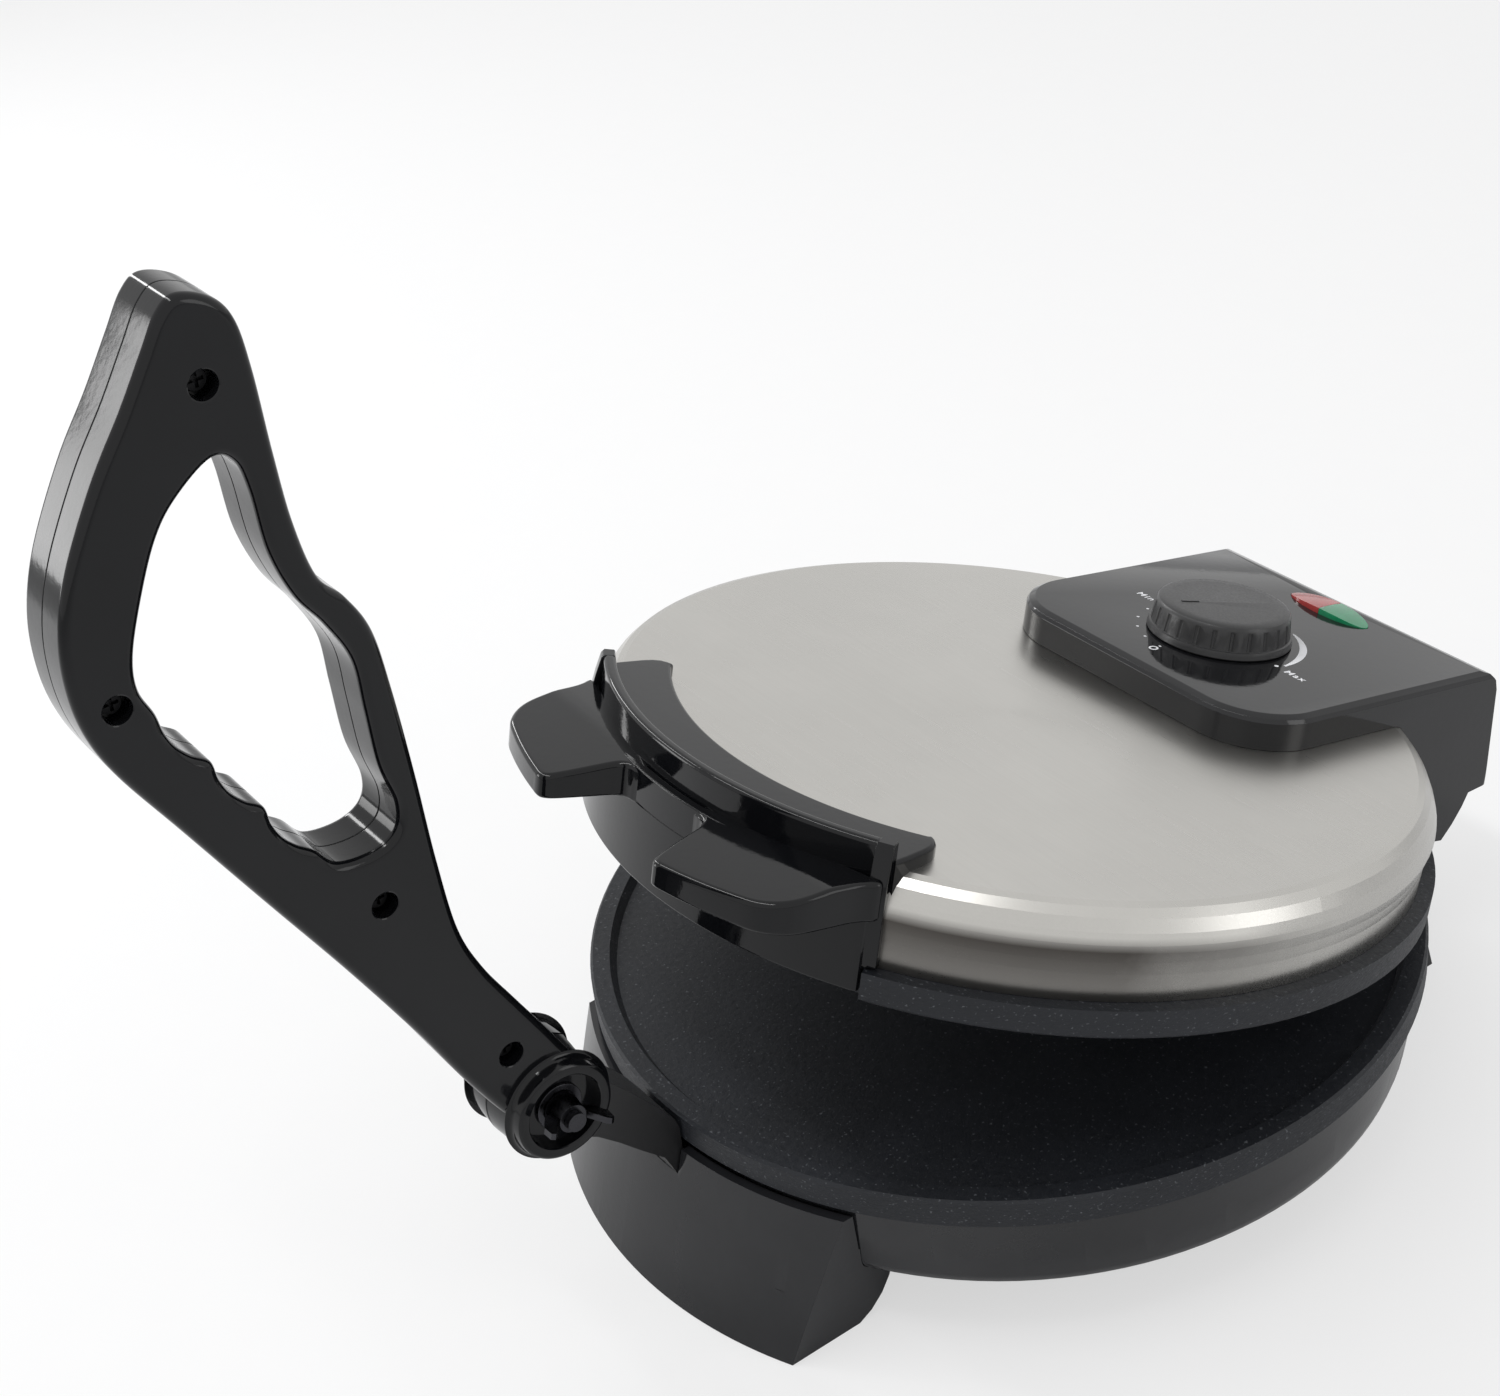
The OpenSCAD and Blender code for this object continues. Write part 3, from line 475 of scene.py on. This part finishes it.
def turned(profile, steps, a0=0, a1=360):
    """Solid of revolution about z from a closed (r, z) profile, from a0 to a1 degrees."""
    bm = bmesh.new()
    whole = a1 - a0 == 360
    count = steps if whole else steps + 1
    rings = []
    for k in range(count):
        a = math.radians(a0 + (a1 - a0) * k / steps)
        rings.append([bm.verts.new((r * math.cos(a), r * math.sin(a), z)) for r, z in profile])
    for k in range(steps):
        p = rings[k]
        q = rings[(k + 1) % count]
        for i in range(len(profile)):
            j = (i + 1) % len(profile)
            bm.faces.new((p[i], p[j], q[j], q[i]))
    if not whole:
        bm.faces.new(rings[0])
        bm.faces.new(rings[-1])
    bmesh.ops.remove_doubles(bm, verts=bm.verts, dist=MERGE)
    bmesh.ops.recalc_face_normals(bm, faces=bm.faces)
    return bm


def smooth(mesh, angle):
    """Smooth shading that breaks at edges sharper than the angle in degrees."""
    mesh.shade_smooth()
    mesh.set_sharp_from_angle(angle=math.radians(angle))


def round_edges(obj, width, angle):
    """Rounds the edges sharper than the angle in degrees, over the width in millimetres."""
    mod = obj.modifiers.new("edges", "BEVEL")
    mod.width = width * MM
    mod.segments = 3
    mod.limit_method = "ANGLE"
    mod.angle_limit = math.radians(angle)
    mod.harden_normals = True
    mod.miter_outer = "MITER_ARC"


def placed_mesh(name, bm, matrix):
    """Mesh from mesh data that is placed by the matrix and used up."""
    mesh = bpy.data.meshes.new(name)
    bm.transform(matrix)
    bm.to_mesh(mesh)
    bm.free()
    return mesh


def applied_mesh(obj):
    """New mesh with all that the object's modifiers or its curve make of it."""
    return bpy.data.meshes.new_from_object(obj.evaluated_get(bpy.context.evaluated_depsgraph_get()))


def cut(mesh, cutter):
    """The mesh with the cutter's room taken away. Both meshes are used up."""
    name = mesh.name
    whole = add_object("whole", mesh)
    tool = add_object("tool", cutter)
    mod = whole.modifiers.new("cut", "BOOLEAN")
    mod.operation = "DIFFERENCE"
    mod.solver = "EXACT"
    mod.object = tool
    left_over = applied_mesh(whole)
    for used in (whole, tool):
        bpy.data.objects.remove(used)
    for used in (mesh, cutter):
        bpy.data.meshes.remove(used)
    left_over.name = name
    return left_over


def piece(mesh, body, material, weighted=True):
    """Object from a mesh, riding on a body, with shading that follows its large faces if weighted."""
    sharp_angle = 30
    obj = add_object(mesh.name, mesh)
    mesh.materials.append(material)
    smooth(mesh, sharp_angle)
    if weighted:
        mod = obj.modifiers.new("normals", "WEIGHTED_NORMAL")
        mod.keep_sharp = True
        mod.weight = 100
    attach(obj, body)
    return obj


# lever, with outlines as (y, z) points

LEVER_HW = 11.4  # half its width
LEVER_SPLIT = 0.06  # half the gap between the shells
SPLIT_ROUND = 0.35
LEVER_ROUND = 2.6
LEVER_OUTER = [
    (-229, 361.5), (-221, 358), (-216.5, 351), (-215, 338), (-214.5, 316), (-213.5, 297),
    (-210.5, 281), (-204.5, 272.5), (-199.5, 261), (-197.5, 243), (-196, 216), (-195, 188), (-193, 164),
    (-188, 148), (-180, 132), (-171, 114.5), (-165, 100), (-170, 88), (-184, 88), (-189, 94),
    (-200, 114.5), (-211, 138), (-226, 167.5), (-243, 199), (-259, 229), (-270.5, 250.5), (-275.5, 264),
    (-277, 277), (-275.5, 291), (-270, 306), (-259, 324.5), (-248.5, 338.5), (-240.5, 350), (-234.5, 358.5)]
HOLE_TOP = [
    (-230, 320.5), (-224.5, 317.5), (-222.5, 309), (-221.5, 292), (-217.5, 278), (-211.5, 267.5),
    (-206.5, 255), (-206, 240), (-205.5, 223), (-203, 210), (-205, 202.5), (-212, 199.5), (-222, 201)]
HOLE_BACK = [(-260.5, 271), (-259.5, 280), (-254.5, 292.5), (-247.5, 306), (-240.5, 314)]
SCALLOP_START = Vector((-227.3, 207.5))
SCALLOP_DIR = math.radians(118.9)
SCALLOP_PITCH = 21.2
SCALLOP_DEPTH = 2.6
LEVER_SCREWS = [(-228, 339), (-267, 269), (-212.5, 183), (-185.5, 116.5)]
SCREW_HOLE_R = 3.75
SCREW_HOLE_FLOOR = 5.05
SWING_HW = 10.6  # half the width of the room for the bracket
SWING_R = 13.4
BARREL_HW = 16
BARREL_R = 15.6
BARREL_BORE_R = 12
BARREL_MIDDLE_R = 16.9
BARREL_FOOT_R = 17.6
BARREL_FILLET_R = 1.75


def scallop(i, t):
    """Point t, from 0 to 1, of finger hollow i on the lower edge of the hand hole."""
    along = Vector((math.cos(SCALLOP_DIR), math.sin(SCALLOP_DIR)))
    across = Vector((-math.sin(SCALLOP_DIR), math.cos(SCALLOP_DIR)))
    hollow = SCALLOP_DEPTH * math.sin(math.pi * t)
    return SCALLOP_START + SCALLOP_PITCH * (i + t) * along + hollow * across


def swing_room():
    """Prism for the bracket's nose and arm between the lever's cheeks."""
    turns = [math.radians(a) for a in range(70, 262, 6)]
    nose = [(SWING_R * math.cos(a), SWING_R * math.sin(a)) for a in turns]
    arm = [(1.2, -15.8), (4, -40), (60, -40), (60, 40), (30, 23), (12, 12.9)]
    outline = [(PIVOT.y + y, PIVOT.z + z) for y, z in arm + nose]
    return placed_mesh("swing_room", slab([(outline, [(-SWING_HW, 0), (SWING_HW, 0)])]), BASE @ ALONG_X)


def screw_hole(y, z):
    """Stepped hole for a screw head in the right shell, with a rounded lip."""
    lip_r = SCREW_HOLE_R + 0.45
    outside = LEVER_HW + 2
    profile = [
        (0, SCREW_HOLE_FLOOR), (SCREW_HOLE_R, SCREW_HOLE_FLOOR), (SCREW_HOLE_R, LEVER_HW - 0.45),
        (SCREW_HOLE_R + 0.12, LEVER_HW - 0.18), (lip_r, LEVER_HW + 0.02), (lip_r, outside), (0, outside)]
    place = BASE @ Matrix.Translation((0, y, z)) @ AXIS_TO_X
    return placed_mesh("screw_hole", turned(profile, 48), place)


def shell_body(name, side):
    """Half of the lever's arm with the hand hole."""
    hollows = [scallop(i, t) for i in range(3) for t in (0, 0.25, 0.5, 0.75)]
    hole = spline(HOLE_TOP + hollows + [scallop(3, 0)] + HOLE_BACK, 8)
    half = rounded_layers(LEVER_SPLIT, LEVER_HW, r0=SPLIT_ROUND, r1=LEVER_ROUND, steps=8)
    layers = [(side * x, g) for x, g in half]
    arm = slab([(spline(LEVER_OUTER, 10), layers), (hole, layers)])
    return placed_mesh(name + "_body", arm, BASE @ ALONG_X)


def shell_barrel(name, side):
    """Half of the lever's round barrel, with the open ring at its outer face."""
    fillet_turns = [math.radians(15 * k) for k in range(1, 6)]
    fillet = [(BARREL_FOOT_R - BARREL_FILLET_R * math.sin(a), LEVER_HW + BARREL_FILLET_R * (1 - math.cos(a)))
              for a in fillet_turns]
    middle = [
        (0, 0.1), (BARREL_MIDDLE_R - 0.3, 0.1), (BARREL_MIDDLE_R, 0.45), (BARREL_R + 0.55, LEVER_HW - 0.3),
        (BARREL_FOOT_R, LEVER_HW - 0.3), (BARREL_FOOT_R, LEVER_HW - 0.02)]
    ring = [
        (BARREL_R + 0.2, LEVER_HW + 1.9), (BARREL_R, BARREL_HW - 1.1), (BARREL_R - 0.15, BARREL_HW - 0.55),
        (BARREL_R - 0.6, BARREL_HW - 0.15), (BARREL_R - 1.1, BARREL_HW)]
    bore = [
        (BARREL_BORE_R + 0.7, BARREL_HW), (BARREL_BORE_R + 0.3, BARREL_HW - 0.1),
        (BARREL_BORE_R + 0.05, BARREL_HW - 0.4), (BARREL_BORE_R, BARREL_HW - 0.8),
        (BARREL_BORE_R, LEVER_HW + 0.2), (0, LEVER_HW + 0.2)]
    turn = AXIS_TO_X if side > 0 else MIRROR_X @ AXIS_TO_X
    bm = turned(middle + fillet + ring + bore, 128)
    mesh = placed_mesh(name + "_barrel", bm, BASE @ Matrix.Translation(PIVOT) @ turn)
    if side < 0:
        mesh.flip_normals()
    return mesh


def build_lever():
    """The lever's two half shells. The right one has the screw holes."""
    for side, name in ((1, "lever_shell_right"), (-1, "lever_shell_left")):
        body = cut(shell_body(name, side), swing_room())
        if side > 0:
            for y, z in LEVER_SCREWS:
                body = cut(body, screw_hole(y, z))
        barrel = cut(shell_barrel(name, side), swing_room())
        for mesh in (body, barrel):
            obj = piece(mesh, "lever", M_LEVER)
            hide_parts(name)


build_lever()


# front handle, with angles in degrees from the front

HANDLE_HALF = 31.6  # half the angle that the skirt and the rib span
SKIRT_R = 134
SKIRT_BOTTOM = 64
SKIRT_TOP = 98.6
CREASE_Z = 88.1
CREASE_DEPTH = 0.28
RIB_R = 130.5
RIB_INNER_R = 126.5
RIB_BOTTOM = 96
RIB_TOP = 109
END_INNER_R = 129.8
CRESCENT_R = 129.3
CRESCENT_HALF = 33.3
CRESCENT_INNER_R = 109
CRESCENT_INNER_HALF = 35.2
CRESCENT_BOTTOM = 92
CRESCENT_TOP = 104
TAB_REACH = 160  # radius of its front edge
TAB_BOTTOM = 87
TAB_TOP = 99.2
TAB_SLOPE_Y = -127  # the top slopes down in front of this place
TAB_SLOPE = 0.153
TAB_SLOPE_H = 8  # height over which the slope fades out downwards
ARC_STEPS = 84


def handle_piece(name, bm, weighted=True):
    """Piece of the front handle, which together with the others stands for the handle's solid."""
    obj = piece(placed_mesh(name, bm, LID), "lid", M_BLACK, weighted)
    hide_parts("lid_handle")
    return obj


def handle_skirt():
    """Curved wall in front of the upper plate, with a shallow crease all along."""
    half = HANDLE_HALF - 0.45
    inner_half = HANDLE_HALF - 0.6
    end = [polar(SKIRT_R - 0.2, HANDLE_HALF - 0.18), polar(SKIRT_R - 0.7, HANDLE_HALF),
           polar(SKIRT_R - 3, HANDLE_HALF)]
    outline = mirrored(end) + arc(SKIRT_R, -half, half, ARC_STEPS) + end
    outline += arc(SKIRT_R - 3.1, inner_half, -inner_half, 60)
    crease = [(CREASE_Z - 0.4, 0.0), (CREASE_Z - 0.2, CREASE_DEPTH),
              (CREASE_Z + 0.2, CREASE_DEPTH), (CREASE_Z + 0.4, 0.0)]
    layers = rounded_layers(SKIRT_BOTTOM, SKIRT_TOP, r0=0.8, r1=0.5, steps=4)
    below = [layer for layer in layers if layer[0] < CREASE_Z]
    above = [layer for layer in layers if layer[0] > CREASE_Z]
    handle_piece("handle_skirt", slab([(outline, below + crease + above)]))


def handle_end(side_name, a0, a1):
    """End wall from the rib down to the slate band."""
    foot = BAND_TOP + 0.6
    profile = [
        (END_INNER_R, foot), (SKIRT_R - 1.1, foot), (SKIRT_R - 0.6, 84), (SKIRT_R - 0.5, 93),
        (SKIRT_R - 0.8, 98), (SKIRT_R - 1.6, 102.5), (SKIRT_R - 2.5, RIB_TOP - 2.5),
        (SKIRT_R - 2.9, RIB_TOP - 1), (SKIRT_R - 3.8, RIB_TOP), (RIB_INNER_R + 0.7, RIB_TOP),
        (RIB_INNER_R + 0.3, RIB_TOP - 0.4), (RIB_INNER_R + 0.3, CRESCENT_TOP - 0.1),
        (121, CRESCENT_TOP - 0.1), (121, CRESCENT_BOTTOM), (END_INNER_R, CRESCENT_BOTTOM)]
    obj = handle_piece("handle_end_" + side_name, turned(profile, 14, a0 - 90, a1 - 90), weighted=False)
    round_edges(obj, width=0.7, angle=50)


def handle_rib():
    """Raised rib along the steel's front edge."""
    outline = arc(RIB_R, -HANDLE_HALF, HANDLE_HALF, ARC_STEPS)
    outline += arc(RIB_INNER_R, HANDLE_HALF, -HANDLE_HALF, ARC_STEPS)
    layers = rounded_layers(RIB_BOTTOM, RIB_TOP, r0=0, r1=1.5, steps=7)
    handle_piece("handle_rib", slab([(outline, layers)]))


def handle_crescent():
    """Flat plate on the steel behind the rib, with pointed corners."""
    corner = [Vector(q) for q in (
        (72, -108), (71.4, -103), (70, -95.5), (69, -92.3), (67.4, -89.9), (65.2, -88.5), (63.4, -88))]
    outline = mirrored(corner) + arc(CRESCENT_R, -CRESCENT_HALF, CRESCENT_HALF, ARC_STEPS) + corner
    outline += arc(CRESCENT_INNER_R, CRESCENT_INNER_HALF, -CRESCENT_INNER_HALF, ARC_STEPS)
    layers = rounded_layers(CRESCENT_BOTTOM, CRESCENT_TOP, r0=0, r1=1.3, steps=6)
    handle_piece("handle_crescent", slab([(outline, layers)]))


def handle_tab(side_name, side):
    """Grip tab whose top slopes down towards its front edge."""
    inner_edge = [
        (10, -131), (14.5, -133.3), (17.6, -133.8), (19.2, -134.3), (20.5, -135.4), (21.4, -137.2),
        (22.6, -141.3), (24.2, -147), (25.8, -152.2), (27, -155), (28.8, -156.8)]
    front_edge = [(x, -math.sqrt(TAB_REACH ** 2 - x * x)) for x in range(31, 58, 2)]
    outer_edge = [
        (60, -148.3), (63, -146.6), (66, -143.7), (68.3, -140), (69.6, -135.6), (70.1, -130),
        (70.4, -124), (70.8, -119.5), (71.6, -116), (72.6, -113.2), (70, -112), (50, -118)]
    outline = spline([(side * x, y) for x, y in inner_edge + front_edge + outer_edge], 3)
    bm = slab([(outline, rounded_layers(TAB_BOTTOM, TAB_TOP, r0=1.2, r1=1.6, steps=7))])
    for v in bm.verts:
        lower = max(0.0, (TAB_SLOPE_Y - v.co.y) * TAB_SLOPE)
        share = max(0.0, min(1.0, (v.co.z - TAB_BOTTOM - 1.5) / TAB_SLOPE_H))
        v.co.z -= lower * share
    handle_piece("handle_tab_" + side_name, bm)


def build_handle():
    """The lid's front handle."""
    near = HANDLE_HALF - 0.5
    far = HANDLE_HALF + 1.8
    handle_skirt()
    handle_end("right", near, far)
    handle_end("left", -far, -near)
    handle_rib()
    handle_crescent()
    handle_tab("right", 1)
    handle_tab("left", -1)


build_handle()


# print on the dial, as thin raised pieces

INK_BELOW = 0.05
INK_ABOVE = 0.035
DOT_ANGLES = (0, 18, 36, 54.5, 74)
DOT_RING_R = 27.1
DOT_R = 0.5
MAX_DOT = Vector((27.7, 85.2))
MAX_DOT_R = 0.75
ZERO = Vector((0.2, 56.6))
ZERO_RIM = (1.5, 1.75)
ZERO_HOLE = (0.85, 1.1)
SWEEP_START = -158
SWEEP_TURN = 66
SWEEP_R = 26.9
SWEEP_END_R = 28.8
SWEEP_TIP = 0.25
SWEEP_STEPS = 40
WORD_SIZE = 3.8
WORD_STRETCH = 1.12
WORDS = (("dial_min", "Min", -34.8, 87.0), ("dial_max", "Max", 36.1, 84.9))


def print_piece(name, loops):
    """Printed mark with the given outlines, the first one its rim."""
    layers = [(PANEL_Z - INK_BELOW, 0.0), (PANEL_Z + INK_ABOVE, 0.0)]
    mark = slab([(loop, layers) for loop in loops])
    piece(placed_mesh(name, mark, LID), "lid", M_INK, weighted=False)


def dial_point(r, a):
    """Point at radius r round the knob, a counted in degrees from the front towards the left."""
    a = math.radians(a)
    return Vector((-r * math.sin(a), KNOB_Y - r * math.cos(a)))


def dial_sweep():
    """Swept mark beside the knob, thickest midway and a little wider at its end than at its start."""
    outer = []
    inner = []
    for k in range(SWEEP_STEPS + 1):
        t = k / SWEEP_STEPS
        a = SWEEP_START + SWEEP_TURN * t
        mid = SWEEP_R + (SWEEP_END_R - SWEEP_R) * t
        half = SWEEP_TIP + math.sin(math.pi * min(1.0, t * 1.05)) ** 0.8 + SWEEP_TIP * t
        outer.append(dial_point(mid + half, a))
        inner.append(dial_point(mid - half * 0.8, a))
    print_piece("dial_sweep", [outer + inner[::-1]])


def dial_word(name, word, x, y):
    """Printed word, centred at x and y."""
    font = bpy.data.curves.new(name, "FONT")
    font.body = word
    font.size = WORD_SIZE
    font.space_character = 1.25
    font.align_x = "CENTER"
    font.align_y = "CENTER"
    font.resolution_u = 3
    font.extrude = 0.04
    font.offset = 0.07
    curve = add_object(name + "_curve", font)
    letters = applied_mesh(curve)
    bpy.data.objects.remove(curve)
    letters.name = name
    stretch = Matrix.Diagonal((WORD_STRETCH, 1, 1, 1))
    letters.transform(LID @ Matrix.Translation((x, y, PANEL_Z - 0.005)) @ stretch)
    piece(letters, "lid", M_INK, weighted=False)


def build_dial():
    """The marks and words round the knob."""
    for k, a in enumerate(DOT_ANGLES):
        print_piece("dial_dot_%d" % k, [oval(dial_point(DOT_RING_R, a), DOT_R, DOT_R)])
    print_piece("dial_dot_max", [oval(MAX_DOT, MAX_DOT_R, MAX_DOT_R)])
    print_piece("dial_zero", [oval(ZERO, *ZERO_RIM), oval(ZERO, *ZERO_HOLE)])
    dial_sweep()
    for name, word, x, y in WORDS:
        dial_word(name, word, x, y)


build_dial()


# rounded copies of CAD nodes

def soften(node, width):
    """Copy of a CAD node with its hard edges rounded, which then stands for the node."""
    same_point = 0.004 * MM
    same_plane = math.radians(0.4)
    sharp_angle = 28
    mesh = NODES[node].data.copy()
    mesh.name = node + "_rounded"
    bm = bmesh.new()
    bm.from_mesh(mesh)
    bmesh.ops.remove_doubles(bm, verts=bm.verts, dist=same_point)
    bmesh.ops.dissolve_limit(bm, angle_limit=same_plane, verts=bm.verts, edges=bm.edges)
    bmesh.ops.recalc_face_normals(bm, faces=bm.faces)
    bm.to_mesh(mesh)
    bm.free()
    smooth(mesh, sharp_angle)
    obj = add_object(mesh.name, mesh)
    round_edges(obj, width, sharp_angle)
    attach(obj, NODES[node]["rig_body"])
    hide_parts(node)


ROUND = {
    "control_housing": 0.9, "front_block": 1.8, "rear_block": 1.2,
    "lever_bracket": 0.8, "wing_nut": 0.3, "control_knob": 0.3, "base_housing": 0.4,
    "pivot_washer": 0.2, "cord_gland": 0.3, "red_lens": 0.4, "green_lens": 0.4,
}
for name, width in ROUND.items():
    soften(name, width)


# floor, world and lights, in metres

FLOOR_HALF = 6
FLOOR_Z = -0.0002
PAPER_GLOW = 0.6
WORLD_LIGHT = 0.55
WHITE = (1, 1, 1, 1)
LIT_PLACE = Vector((0, 0, 0.12))


def build_floor():
    """Pale paper floor, which the camera sees a little brighter than the lamps make it."""
    corners = [(x * FLOOR_HALF, y * FLOOR_HALF, 0) for x, y in ((-1, -1), (1, -1), (1, 1), (-1, 1))]
    mesh = bpy.data.meshes.new("floor")
    mesh.from_pydata(corners, [], [(0, 1, 2, 3)])
    floor = add_object("floor", mesh)
    floor.location.z = FLOOR_Z
    m = Material("floor_paper")
    cloud = m.noise(scale=60, detail=3, rough=0.55)
    tone = m.mix(cloud, shade((0.93, 0.935, 0.945)), shade((0.96, 0.96, 0.965)))
    m.surface(Base_Color=tone, Roughness=0.85)
    glow = m.add("ShaderNodeEmission", Color=WHITE, Strength=1).outputs[0]
    seen = m.math("MULTIPLY", m.add("ShaderNodeLightPath").outputs["Is Camera Ray"], PAPER_GLOW)
    m.feed(m.tree.nodes["Material Output"], Surface=m.mix_shaders(seen, m.shader.outputs[0], glow))
    mesh.materials.append(m.made)


def build_world():
    """White surroundings, dimmer where they only light the object than where they are seen."""
    world = bpy.data.worlds.new("studio")
    bpy.context.scene.world = world
    world.use_nodes = True
    world.node_tree.nodes.clear()
    n = Nodes(world.node_tree)
    seen = n.add("ShaderNodeBackground", Color=WHITE, Strength=1).outputs[0]
    light = n.add("ShaderNodeBackground", Color=WHITE, Strength=WORLD_LIGHT).outputs[0]
    rays = n.add("ShaderNodeLightPath").outputs
    direct = n.math("MAXIMUM", rays["Is Camera Ray"], rays["Is Glossy Ray"])
    n.add("ShaderNodeOutputWorld", Surface=n.mix_shaders(direct, light, seen))


def add_lamp(name, length, width, power, place):
    """Rectangular area lamp."""
    data = bpy.data.lights.new(name, "AREA")
    data.energy = power
    data.shape = "RECTANGLE"
    data.size = length
    data.size_y = width
    add_object(name, data).matrix_world = place


def softbox(name, where, target, length, width, power):
    """Area lamp that shines from one place to another."""
    turn = (Vector(target) - Vector(where)).to_track_quat("-Z", "Y").to_matrix().to_4x4()
    add_lamp(name, length, width, power, Matrix.Translation(where) @ turn)


def strip(name, start, end, width, power):
    """Long narrow softbox from start to end that faces the object."""
    start = Vector(start)
    end = Vector(end)
    middle = (start + end) / 2
    x = (end - start).normalized()
    z = middle - LIT_PLACE
    z = (z - x * z.dot(x)).normalized()
    turn = Matrix((x, z.cross(x), z)).transposed().to_4x4()
    add_lamp(name, (end - start).length, width, power, Matrix.Translation(middle) @ turn)


build_floor()
build_world()
strip("strip_side", start=(-1.45, 0.0, 0.45), end=(-0.95, -0.35, 1.25), width=0.1, power=4.5)
strip("strip_top", start=(-0.85, -0.38, 1.3), end=(0.55, -0.4, 1.5), width=0.1, power=6.5)
softbox("softbox_front", (-1.0, -0.9, 0.42), (-0.02, -0.2, 0.28), length=0.35, width=0.5, power=2.5)
softbox("softbox_right", (1.3, 0.75, 0.6), (0, 0.05, 0.1), length=0.5, width=0.9, power=2.5)
